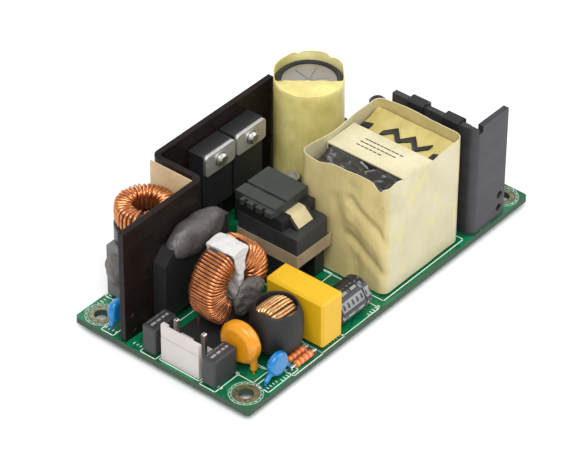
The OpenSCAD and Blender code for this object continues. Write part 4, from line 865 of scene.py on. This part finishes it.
def barrel_sleeve():
    """Rubber sleeve shrunk round the filter choke: widest at its middle and drawn in at its mouth."""
    low, high = mm_box("filter_choke_sleeve")
    cx, cy, r = (low[0] + high[0]) / 2, (low[1] + high[1]) / 2, (high[0] - low[0]) / 2
    tall = high[2] - low[2]
    profile = [(0.90, 0.0), (0.96, 0.12), (0.99, 0.3), (1.0, 0.5), (0.985, 0.68), (0.94, 0.82), (0.875, 0.93),
               (0.83, 0.985), (0.80, 1.0), (0.775, 0.985), (0.77, 0.9), (0.80, 0.7), (0.86, 0.4), (0.84, 0.1),
               (0.84, 0.0)]
    rows = []
    for k, h in profile:
        row = []
        slack = min(1.0, 1.2 - abs(2 * h - 1))
        for i in range(72):
            a = 2 * math.pi * i / 72
            drift = 0.10 * rough_at(math.cos(a) * 1.4, math.sin(a) * 1.4, h * 2.5)
            out = r * k - SLEEVE_GAP + drift * slack
            row.append(((cx + out * math.cos(a)) * MM, (cy + out * math.sin(a)) * MM, (low[2] + tall * h) * MM))
        rows.append(row)
    mesh = grid_mesh("filter_sleeve_barrel", rows, closed_v=True)
    mesh.shade_smooth()
    return mesh


def strap_print():
    """Rows of plain dashes on the strap where the real one is marked."""
    low, high = mm_box("transformer_strap")
    middle = (low[0] + high[0]) / 2
    pick = random.Random(7)
    lines = []
    for row, (y0, y1) in ((1.7, (-5.2, -16.2)), (0.3, (-4.9, -15.0)), (-1.1, (-4.9, -11.6))):
        y = y0
        while y > y1:
            long = pick.uniform(0.45, 0.8)
            lines.append([(middle + row, y), (middle + row, y - long)])
            y -= long + pick.uniform(0.45, 0.65)
    return strips("transformer_strap_print", lines, high[2], 0.34, 0.02)


def rounded_blob(node, name, voxel, lumps, seed, dents=(), soften=4):
    """Cured adhesive: a packed blob remeshed fine, with soft lumps and dents where it was dabbed."""
    mesh = mesh_from(merged_copy(node), name)
    mesh = modified(mesh, name, ("REMESH", {"mode": "VOXEL", "voxel_size": voxel * MM}),
                    ("SMOOTH", {"factor": 0.5, "iterations": soften}))
    bm = bmesh.new()
    bm.from_mesh(mesh)
    bm.normal_update()
    spots = []
    for vert in bm.verts:
        p = vert.co * PER_METRE
        push = lumps * rough_at(p.x * 0.32 + seed, p.y * 0.32, p.z * 0.32)
        push += lumps * 0.35 * rough_at(p.x * 0.9 + seed, p.y * 0.9, p.z * 0.9)
        for cx, cz, width, depth in dents:
            push -= depth * bump_at(p.x, cx, width) * bump_at(p.z, cz, width)
        spots.append((vert, vert.normal * push * MM))
    for vert, move in spots:
        vert.co += move
    mesh = mesh_from(bm, name)
    mesh.shade_smooth()
    return mesh


def ring_frame(node, axis):
    """Turns a ring wound about +Z so that its axis is along axis, with +X pointing up, at the node's middle."""
    low, high = map(Vector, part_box(node))
    middle = (low + high) / 2
    if axis == "z":
        turn = Matrix.Identity(4)
    elif axis == "y":
        turn = Matrix.Rotation(math.radians(90.0), 4, "X") @ Matrix.Rotation(math.radians(90.0), 4, "Z")
    else:
        turn = Matrix.Rotation(math.radians(90.0), 4, "Y")
    return Matrix.Translation(middle) @ turn


def wind(pattern, name, material, core, axis, bore, wire, grow, first, last, **shape):
    """Wire round a packed core ring; bore, wire and grow are in millimetres, the first and last angle in degrees."""
    low, high = mm_box(core)
    along = "xyz".index(axis)
    across = (along + 1) % 3
    outer = (high[across] - low[across]) / 2
    mesh = pattern.mesh(name, Finish=material, Ring_radius=(outer + bore) / 2, Section_width=outer - bore + grow,
                        Section_height=high[along] - low[along] + grow, Start_angle=math.radians(first),
                        End_angle=math.radians(last), Wire_radius=wire / 2, **shape)
    mesh.transform(ring_frame(core, axis))
    mesh.shade_smooth()
    return mesh


# ---------------------------------------------------------------- sizes and colours

def colour(name, description, value):
    return bpy.props.FloatVectorProperty(name=name, description=description, default=value, size=3,
                                         subtype="COLOR", min=0.0, max=1.0)


def length(name, description, value):
    return bpy.props.FloatProperty(name=name, description=description, default=value, subtype="DISTANCE",
                                   unit="LENGTH")


class PowerSupplySizes(bpy.types.PropertyGroup):
    fine_wire: length("Fine wire", "Diameter of the wire in the choke's fine winding", 0.00072)
    heavy_wire: length("Heavy wire", "Diameter of the wire in the choke's heavy winding", 0.00104)
    toroid_wire: length("Toroid wire", "Diameter of the wire on the boost choke", 0.00082)
    filter_wire: length("Filter wire", "Diameter of each of the two strands on the filter choke", 0.00082)
    edge_round: length("Edge rounding", "Rounding of moulded and folded edges", 0.00018)
    print_width: length("Print width", "Width of the white outlines on the board", 0.00022)


class PowerSupplyColours(bpy.types.PropertyGroup):
    sheet: colour("Heatsink", "Black anodised aluminium", (0.0095, 0.0062, 0.0054))
    copper_light: colour("Copper, lit", "Enamelled copper where it catches light", (0.80, 0.32, 0.125))
    copper_dark: colour("Copper, deep", "Enamelled copper in the shade", (0.27, 0.07, 0.022))
    tape_light: colour("Tape, light", "Polyester tape where a single layer shows", (0.585, 0.54, 0.375))
    tape_dark: colour("Tape, deep", "Polyester tape over dark parts", (0.48, 0.43, 0.25))
    tape_green: colour("Tape, green", "Tape where layers lie over each other", (0.50, 0.47, 0.22))
    varistor: colour("Varistor", "Coating of the varistor", (0.78, 0.30, 0.004))
    safety: colour("Safety capacitor", "Coating of the small discs", (0.001, 0.22, 0.56))
    yellow: colour("Yellow capacitor", "Moulded box of the yellow capacitor", (0.66, 0.385, 0.004))


def sizes():
    return bpy.context.scene.power_supply_sizes


def colours():
    return bpy.context.scene.power_supply_colours


# ---------------------------------------------------------------- operators

class Piece:
    bl_options = {"REGISTER", "UNDO"}

    def execute(self, context):
        self.build(context)
        return {"FINISHED"}


HOLE_INSET = 4.3
PAD_BORE, PAD_RIM, PAD_HEIGHT = 1.78, 2.9, 0.035
RING_IN, RING_OUT = 3.25, 3.85


class PS_OT_board(Piece, bpy.types.Operator):
    """Finish the circuit board and add its plated pads and white outlines"""
    bl_idname = "power_supply.board"
    bl_label = "Dress the board"

    def build(self, context):
        finish_node("circuit_board", solder_mask())
        low, high = mm_box("circuit_board")
        hole_x, hole_y = high[0] - HOLE_INSET, high[1] - HOLE_INSET
        pads, lines = [], []
        for x, y in [(x, y) for x in (-hole_x, hole_x) for y in (-hole_y, hole_y)]:
            for z, turn in ((high[2], 1), (0.0, -1)):
                rows = [[((x + r * math.cos(a)) * MM, (y + r * math.sin(a)) * MM, (z + turn * h) * MM)
                         for a in (2 * math.pi * k / 48 for k in range(48))]
                        for r, h in ((PAD_BORE, 0.0), (PAD_BORE, PAD_HEIGHT), (PAD_RIM, PAD_HEIGHT), (PAD_RIM, 0.0))]
                pads.append(grid_mesh("pad", rows, closed_v=True))
            lines += [circle_line(x, y, RING_IN, 56), circle_line(x, y, RING_OUT, 60)]
            for k in range(16):
                a = math.radians(22.5 * k + 11.0)
                lines.append([(x + r * math.cos(a), y + r * math.sin(a)) for r in (RING_IN, RING_OUT)])
        add_object("board_pads", joined("board_pads", pads), plated_copper(), "board")

        def outline(node, grow):
            a, b = mm_box(node)
            lines.append(rect_line(a[0] - grow, b[0] + grow, a[1] - grow, b[1] + grow))

        for node in ("input_header", "fuse_left", "fuse_right", "x_capacitor", "bias_capacitor", "choke_base",
                     "film_capacitor", "input_pins"):
            outline(node, 0.35)
        for node in ("safety_capacitor_front", "safety_capacitor_rear", "varistor"):
            outline(node, 0.7)
        for node in ("bulk_capacitor", "bypass_capacitor", "output_choke", "filter_choke_sleeve"):
            a, b = mm_box(node)
            lines.append(circle_line((a[0] + b[0]) / 2, (a[1] + b[1]) / 2, (b[0] - a[0]) / 2 + 0.45, 60))
        for node in ("transformer_wrap", "bridge_rectifier", "inductor_core"):
            outline(node, 0.5)
        pick = random.Random(4)
        for x, y, across, count in (
                (-43.0, -23.6, 1, 5), (-38.0, -24.2, 1, 4), (-48.6, -16.0, 0, 4), (-22.0, -24.0, 1, 6),
                (-49.0, 14.5, 0, 4), (-44.0, 24.2, 1, 5), (-49.2, 7.0, 0, 3), (-8.0, -24.4, 1, 5),
                (33.0, -24.6, 1, 4), (48.0, 14.8, 0, 4), (43.0, 24.3, 1, 4)):
            for k in range(count):
                step, long = 0.95 * k, pick.uniform(0.35, 0.8)
                if across:
                    lines.append([(x + step, y - long / 2), (x + step, y + long / 2)])
                else:
                    lines.append([(x - long / 2, y + step), (x + long / 2, y + step)])
        a, b = mm_box("bleed_resistors")
        lines.append(rect_line(a[0] - 0.6, b[0] + 0.6, (a[1] + b[1]) / 2, (a[1] + b[1]) / 2)[:2])
        lines.append(rect_line(a[0] - 0.7, b[0] + 0.7, a[1] - 0.6, b[1] + 0.6))
        width = sizes().print_width * PER_METRE
        keep = [line for line in lines if all(low[0] < x < high[0] and low[1] < y < high[1] for x, y in line)]
        keep += [[(min(max(x, low[0] + 0.2), high[0] - 0.2), min(max(y, low[1] + 0.2), high[1] - 0.2)) for x, y in line]
                 for line in lines if line not in keep]
        add_object("board_print", strips("board_print", keep, high[2], width), silk_print(), "board")


class PS_OT_heatsinks(Piece, bpy.types.Operator):
    """Round the folded heatsinks' edges and finish them, with the insulating sheet, clamps, screws and clips"""
    bl_idname = "power_supply.heatsinks"
    bl_label = "Fold the heatsinks"

    def build(self, context):
        edge = sizes().edge_round * PER_METRE
        paper = film_tape("insulating_paper", (0.68, 0.54, 0.34), (0.50, 0.38, 0.22), (0.58, 0.46, 0.28), 0.4)
        for node, name, finish, width, segments in (
                ("primary_heatsink", "primary_heatsink_sheet",
                 anodised("glossy_anodising", colours().sheet, 0.16, 0.14), edge, 2),
                ("secondary_heatsink", "secondary_heatsink_sheet",
                 anodised("satin_anodising", (0.019, 0.018, 0.022), 0.42, 0.6), edge, 2),
                ("insulation_sheet", "insulating_sheet", paper, 0.06, 1),
                ("clamp_plates", "clamp_plates_rounded",
                 metal("nickel_plate", (0.74, 0.73, 0.71), 0.42, (0.3, 3.0, 3.0)), 0.14, 2),
                ("rectifier_clips", "spring_clips", moulded("black_spring", (0.012, 0.011, 0.012), 0.3), 0.07, 1),
                ("output_rectifiers", "rectifier_cases",
                 moulded("rectifier_epoxy", (0.012, 0.012, 0.013), 0.42), edge, 2),
                ("transistors", "transistor_cases", moulded("transistor_epoxy", (0.014, 0.014, 0.015), 0.4), edge, 2)):
            softened(node, name, finish, width, segments)
        finish_node("clamp_screws", metal("bright_screw", (0.70, 0.69, 0.68), 0.2, (3.0, 0.4, 3.0)))


class PS_OT_windings(Piece, bpy.types.Operator):
    """Wind the four ring windings with separate turns of round wire and finish their cores"""
    bl_idname = "power_supply.windings"
    bl_label = "Wind the chokes"

    def build(self, context):
        s, c = sizes(), colours()
        pattern = wound_wire_pattern()
        dark = ferrite("grey_ferrite", (0.045, 0.047, 0.05))
        copper = enamelled_wire("copper_wire", c.copper_light, c.copper_dark)
        # A paler pair of lit and shaded copper colours for the filter choke wire: painted light and shade
        pale = enamelled_wire("pale_copper_wire", (0.93, 0.60, 0.28), (0.42, 0.16, 0.05))
        for node in ("choke_core", "filter_choke_core", "boost_choke_core"):
            finish_node(node, dark)

        for node, name, wire, grow, turns, first, square, stack, wander, seed in (
                ("choke_winding_fine", "choke_fine_wire", s.fine_wire, 1.12, 27, 18.0, 0.42, 0.9, 0.035, 3),
                ("choke_winding_heavy", "choke_heavy_wire", s.heavy_wire, 1.1, 15, 207.0, 0.45, 0.8, 0.03, 8)):
            wire *= PER_METRE
            mesh = wind(pattern, name, copper, "choke_core", "y", 5.0, wire, wire * grow, first, first + 135.0,
                        Squareness=square, Turns=turns, Stack=wire * stack, Wander=wander, Seed=seed)
            add_object(name, mesh, copper, "copper", (node,))
        wire = s.filter_wire * PER_METRE
        strands = [wind(pattern, "filter_choke_wire", pale, "filter_choke_core", "x", 2.2, wire, wire * 1.2, first,
                        first + 338.0, Squareness=0.5, Turns=15, Stack=wire * 0.5, Wander=0.03, Seed=5)
                   for first in (6.0, 15.5)]
        add_object("filter_choke_wire", joined("filter_choke_wire", strands), pale, "copper", ("filter_choke_winding",))
        wire = s.toroid_wire * PER_METRE
        mesh = wind(pattern, "boost_choke_wire", copper, "boost_choke_core", "z", 4.0, wire, wire * 0.75, 218.3, 568.3,
                    Squareness=0.5, Turns=36, Stack=0.5, Wander=0.03, Seed=11)
        add_object("boost_choke_wire", mesh, copper, "copper", ("boost_choke_winding",))
        finish_node("choke_leads", copper)
        finish_node("boost_choke_cup", moulded("choke_cup", (0.012, 0.012, 0.013), 0.38, coat=0.15))
        softened("choke_base", "choke_base_plate", moulded("choke_base", (0.016, 0.016, 0.017), 0.5), 0.15, 2)
        rubber = moulded("shrink_rubber", (0.008, 0.008, 0.0085), 0.5, 1.2, 0.08)
        stand_in("filter_choke_sleeve", "filter_sleeve_barrel", barrel_sleeve(), rubber)
        paper = Finish("crumpled_paper")
        crease = paper.noise(0.5, 4.0, 0.6, distort=1.4)
        # The paper is darker where the crease noise is low, in the folds of its bump: painted shade in the creases
        paper.set(Base_Color=paper.mix(crease, (0.46, 0.44, 0.43), (0.64, 0.62, 0.61)),
                  Roughness=0.5 + crease * 0.2, Normal=paper.bump(crease, 0.7, 0.3))
        mesh = rounded_blob("choke_separator", "choke_separator_paper", 0.16, 0.4, 2.0, soften=10)
        stand_in("choke_separator", "choke_separator_paper", mesh, paper.material)


class PS_OT_tapes(Piece, bpy.types.Operator):
    """Wrap the transformer and the bulk capacitor in crumpled tape, with the strap, the inner film and flap"""
    bl_idname = "power_supply.tapes"
    bl_label = "Wrap the tapes"

    def build(self, context):
        c = colours()
        wrap = film_tape("transformer_tape", c.tape_light, c.tape_dark, c.tape_green, 0.3, True)
        add_object("transformer_tape_wrap", wrapped_transformer(), wrap, "tape", ("transformer_wrap",))
        collar = film_tape("collar_tape", (0.80, 0.70, 0.28), (0.50, 0.42, 0.125), (0.44, 0.43, 0.14), 0.26,
                           pale_from=centre_of("bulk_collar")[0] * PER_METRE + 4.0)
        add_object("bulk_tape_collar", collared_can(), collar, "tape", ("bulk_collar",))
        strap = film_tape("strap_tape", (0.68, 0.63, 0.44), (0.52, 0.46, 0.27), (0.50, 0.47, 0.28), 0.3)
        finish_node("transformer_strap", strap)
        add_object("transformer_strap_print", strap_print(), moulded("black_ink", (0.02, 0.019, 0.016), 0.5), "tape")
        film = Finish("dark_film")
        sheen = film.noise(0.6, 4.0, 0.6, distort=1.5)
        # Lighter colour where the sheen noise is high: painted sheen and glints, as well as lower roughness
        film.set(Base_Color=film.mix(sheen, (0.005, 0.0048, 0.004), (0.035, 0.031, 0.022)),
                 Roughness=0.12 + sheen * 0.16, Coat_Weight=0.4, Normal=film.bump(sheen, 0.35, 0.25))
        add_object("transformer_dark_film", crinkled_film(), film.material, "tape")
        deep = film_tape("deep_tape", (0.62, 0.52, 0.20), (0.42, 0.33, 0.09), (0.46, 0.40, 0.13), 0.3)
        add_object("transformer_inner_flap", inner_flaps(), deep, "tape")
        add_object("bobbin_tops", dark_shapes(), moulded("bobbin_black", (0.012, 0.012, 0.013), 0.25), "tape")
        finish_node("transformer_winding", film_tape("winding_tape", shade(c.tape_light, 0.75),
                                                     shade(c.tape_dark, 0.7), c.tape_green, 0.34))
        tan = film_tape("tan_tape", (0.42, 0.33, 0.22), (0.26, 0.19, 0.11), (0.33, 0.27, 0.16), 0.36)
        softened("inductor_tape", "inductor_tape_band", tan, 0.04, 1, 1.8)
        finish_node("inductor_winding", film_tape("pale_winding_tape", (0.66, 0.56, 0.34), (0.48, 0.38, 0.20),
                                                  (0.52, 0.44, 0.24), 0.3))


class PS_OT_adhesive(Piece, bpy.types.Operator):
    """Make the three lumps of cured adhesive fine and lumpy"""
    bl_idname = "power_supply.adhesive"
    bl_label = "Lay the adhesive"

    def build(self, context):
        grey = silicone("grey_adhesive", (0.078, 0.070, 0.068))
        x, _, z = (v * PER_METRE for v in centre_of("bridge_adhesive"))
        dents = ((x - 3.8, z + 0.4, 1.5, 0.5), (x + 4.6, z + 0.6, 1.6, 0.45), (x + 0.6, z - 1.4, 2.2, 0.25))
        for node, voxel, lumps, seed, hollows in (("bridge_adhesive", 0.2, 0.3, 3.0, dents),
                                                  ("choke_adhesive", 0.16, 0.8, 9.0, ()),
                                                  ("film_adhesive", 0.16, 0.35, 5.0, ())):
            mesh = rounded_blob(node, node + "_lumps", voxel, lumps, seed, hollows)
            stand_in(node, node + "_lumps", mesh, grey)


class PS_OT_cases(Piece, bpy.types.Operator):
    """Round the moulded cases and finish every capacitor, fuse, rectifier, bobbin, core, header and pin"""
    bl_idname = "power_supply.cases"
    bl_label = "Dress the cases"

    def build(self, context):
        c = colours()
        edge = sizes().edge_round * PER_METRE
        white = moulded("header_nylon", (0.54, 0.50, 0.48), 0.42, spread=0.06)
        for node in ("input_header", "output_header"):
            softened(node, node + "_shell", white, 0.12, 2)
        tin = metal("tinned_pins", (0.68, 0.66, 0.62), 0.22, (3.0, 3.0, 0.4))
        for node in ("input_pins", "output_pins", "transformer_pins"):
            finish_node(node, tin)
        for node in ("fuse_left", "fuse_right"):
            finish_node(node, boxed_fuse(node + "_case", node))
        coat = dipped("varistor_coating", c.varistor, shade(c.varistor, 0.72))
        blue = dipped("safety_coating", c.safety, shade(c.safety, 0.6))
        for node, finish, voxel, lumps, seed, soften in (("varistor", coat, 0.16, 0.1, 6.0, 36),
                                                         ("safety_capacitor_front", blue, 0.14, 0.08, 4.0, 22),
                                                         ("safety_capacitor_rear", blue, 0.14, 0.08, 4.0, 22)):
            mesh = rounded_blob(node, node + "_dipped", voxel, lumps, seed, soften=soften)
            stand_in(node, node + "_dipped", mesh, finish)
        finish_node("bleed_resistors", banded_resistor())
        for node, name, finish, width, segments in (
                ("x_capacitor", "yellow_capacitor_box", moulded("yellow_box", c.yellow, 0.4, 2.4, 0.05, 0.08), 0.25, 3),
                ("bridge_rectifier", "bridge_case", moulded("bridge_epoxy", (0.013, 0.013, 0.014), 0.36), edge, 2),
                ("film_capacitor", "film_capacitor_box", moulded("grey_box", (0.13, 0.135, 0.14), 0.5), 0.3, 3)):
            softened(node, name, finish, width, segments)
        core = ferrite("chalky_ferrite", (0.022, 0.023, 0.024))
        for node in ("inductor_core", "transformer_core_upper", "transformer_core_lower", "output_choke"):
            softened(node, node + "_rounded", core, 0.2, 2, 1.8 if node == "inductor_core" else 0.0)
        softened("inductor_cover", "inductor_cover_rounded", ferrite("dusty_cover", (0.022, 0.026, 0.022)), 0.12, 2)
        black = moulded("black_bobbin", (0.012, 0.012, 0.013), 0.4)
        for node in ("inductor_bobbin", "transformer_bobbin"):
            finish_node(node, black)
        for node in ("bulk_capacitor", "bypass_capacitor"):
            low, high = mm_box(node)
            centre = ((low[0] + high[0]) / 2, (low[1] + high[1]) / 2)
            finish_node(node, can_sleeve(node + "_sleeve", centre, (high[0] - low[0]) / 2, high[2], (-1.0, 0.0)))
        low, high = mm_box("bias_capacitor")
        radius = (high[2] - 0.2 - BOARD_TOP * PER_METRE) / 2
        centre = ((low[1] + high[1]) / 2, high[2] - radius)
        finish_node("bias_capacitor", can_sleeve("bias_capacitor_sleeve", centre, radius, low[0], (-0.85, 0.52), "x"))
        finish_node("output_capacitors", moulded("capacitor_sleeves", (0.013, 0.014, 0.02), 0.34, coat=0.2))
        finish_node("solder_joints", metal("solder", (0.60, 0.61, 0.62), 0.26, (1.0, 1.0, 1.0)))
        finish_node("surface_chips", moulded("chip_epoxy", (0.013, 0.013, 0.014), 0.45))
        finish_node("surface_passives", moulded("chip_capacitor", (0.24, 0.17, 0.10), 0.5))


CAMERA_TURN = (-50.43, 37.67, 0.338)
CAMERA_OFFSET = (-6.54, 5.01, 765.5)


class PS_OT_stage(Piece, bpy.types.Operator):
    """Set the floor, the world, the studio lights and the camera"""
    bl_idname = "power_supply.stage"
    bl_label = "Set the stage"

    def build(self, context):
        scene = context.scene
        scene.view_settings.view_transform = "Standard"
        floor = bpy.data.objects.new("floor", grid_mesh("floor", [[(x, y, STAGE_Z) for x in (-0.9, 0.9)]
                                                                  for y in (-0.9, 0.9)], closed_u=False))
        scene.collection.objects.link(floor)
        f = Finish("pale_floor")
        grain = f.noise(0.2, 3.0)
        f.set(Base_Color=f.mix(grain, (0.84, 0.84, 0.84), (0.88, 0.88, 0.88)), Roughness=0.85)
        floor.data.materials.append(f.material)

        world = bpy.data.worlds.new("studio")
        world.use_nodes = True
        scene.world = world
        tree = world.node_tree
        tree.nodes.clear()
        out = tree.nodes.new("ShaderNodeOutputWorld")
        mix = tree.nodes.new("ShaderNodeMixShader")
        paths = tree.nodes.new("ShaderNodeLightPath")
        tree.links.new(paths.outputs["Is Camera Ray"], mix.inputs[0])
        for slot, strength in ((1, 0.6), (2, 1.0)):
            light = tree.nodes.new("ShaderNodeBackground")
            light.inputs["Color"].default_value = (1.0, 1.0, 1.0, 1.0)
            light.inputs["Strength"].default_value = strength
            tree.links.new(light.outputs[0], mix.inputs[slot])
        tree.links.new(mix.outputs[0], out.inputs[0])

        for name, place, size, watts in (("key", (-0.35, -0.25, 0.62), 0.5, 5.0), ("fill", (0.5, -0.45, 0.4), 0.6, 2.2),
                                         ("rim", (0.1, 0.6, 0.45), 0.5, 2.0)):
            lamp = bpy.data.lights.new(name, "AREA")
            lamp.shape = "SQUARE"
            lamp.size = size
            lamp.energy = watts
            made = bpy.data.objects.new(name, lamp)
            made.location = place
            made.rotation_euler = (-Vector(place)).to_track_quat("-Z", "Y").to_euler()
            scene.collection.objects.link(made)

        azimuth, height, roll = (math.radians(a) for a in CAMERA_TURN)
        back = Vector((math.sin(azimuth) * math.cos(height), -math.cos(azimuth) * math.cos(height), math.sin(height)))
        right = Vector((math.cos(azimuth), math.sin(azimuth), 0.0))
        up = back.cross(right)
        across = right * math.cos(roll) + up * math.sin(roll)
        upward = up * math.cos(roll) - right * math.sin(roll)
        right_by, up_by, back_by = CAMERA_OFFSET
        spot = (across * right_by + upward * up_by + back * back_by) * MM + Vector((0.0, 0.0, BOARD_TOP))
        lens = bpy.data.cameras.new("camera")
        lens.lens = 208.9
        lens.sensor_width = 36.0
        lens.shift_x = 0.0172
        lens.shift_y = -0.0005
        lens.clip_end = 10.0
        camera = bpy.data.objects.new("camera", lens)
        camera.matrix_world = Matrix((
            (across.x, upward.x, back.x, spot.x), (across.y, upward.y, back.y, spot.y),
            (across.z, upward.z, back.z, spot.z), (0.0, 0.0, 0.0, 1.0)))
        scene.collection.objects.link(camera)
        scene.camera = camera


OPERATORS = (PS_OT_board, PS_OT_heatsinks, PS_OT_windings, PS_OT_tapes, PS_OT_adhesive, PS_OT_cases, PS_OT_stage)


class PS_PT_panel(bpy.types.Panel):
    bl_idname = "PS_PT_panel"
    bl_label = "Open frame power supply"
    bl_space_type = "VIEW_3D"
    bl_region_type = "UI"
    bl_category = "Power Supply"

    def draw(self, context):
        for group in (context.scene.power_supply_sizes, context.scene.power_supply_colours):
            box = self.layout.box()
            for name in group.bl_rna.properties.keys():
                if name not in ("rna_type", "name"):
                    box.prop(group, name)
        for operator in OPERATORS:
            self.layout.operator(operator.bl_idname)


CLASSES = (PowerSupplySizes, PowerSupplyColours) + OPERATORS + (PS_PT_panel,)


def register():
    for made in CLASSES:
        bpy.utils.register_class(made)
    bpy.types.Scene.power_supply_sizes = bpy.props.PointerProperty(type=PowerSupplySizes)
    bpy.types.Scene.power_supply_colours = bpy.props.PointerProperty(type=PowerSupplyColours)


def unregister():
    del bpy.types.Scene.power_supply_sizes
    del bpy.types.Scene.power_supply_colours
    for made in reversed(CLASSES):
        bpy.utils.unregister_class(made)


def main():
    register()
    for operator in OPERATORS:
        group, name = operator.bl_idname.split(".")
        result = getattr(getattr(bpy.ops, group), name)()
        if "FINISHED" not in result:
            raise RuntimeError(operator.bl_idname)


if __name__ == "__main__":
    main()
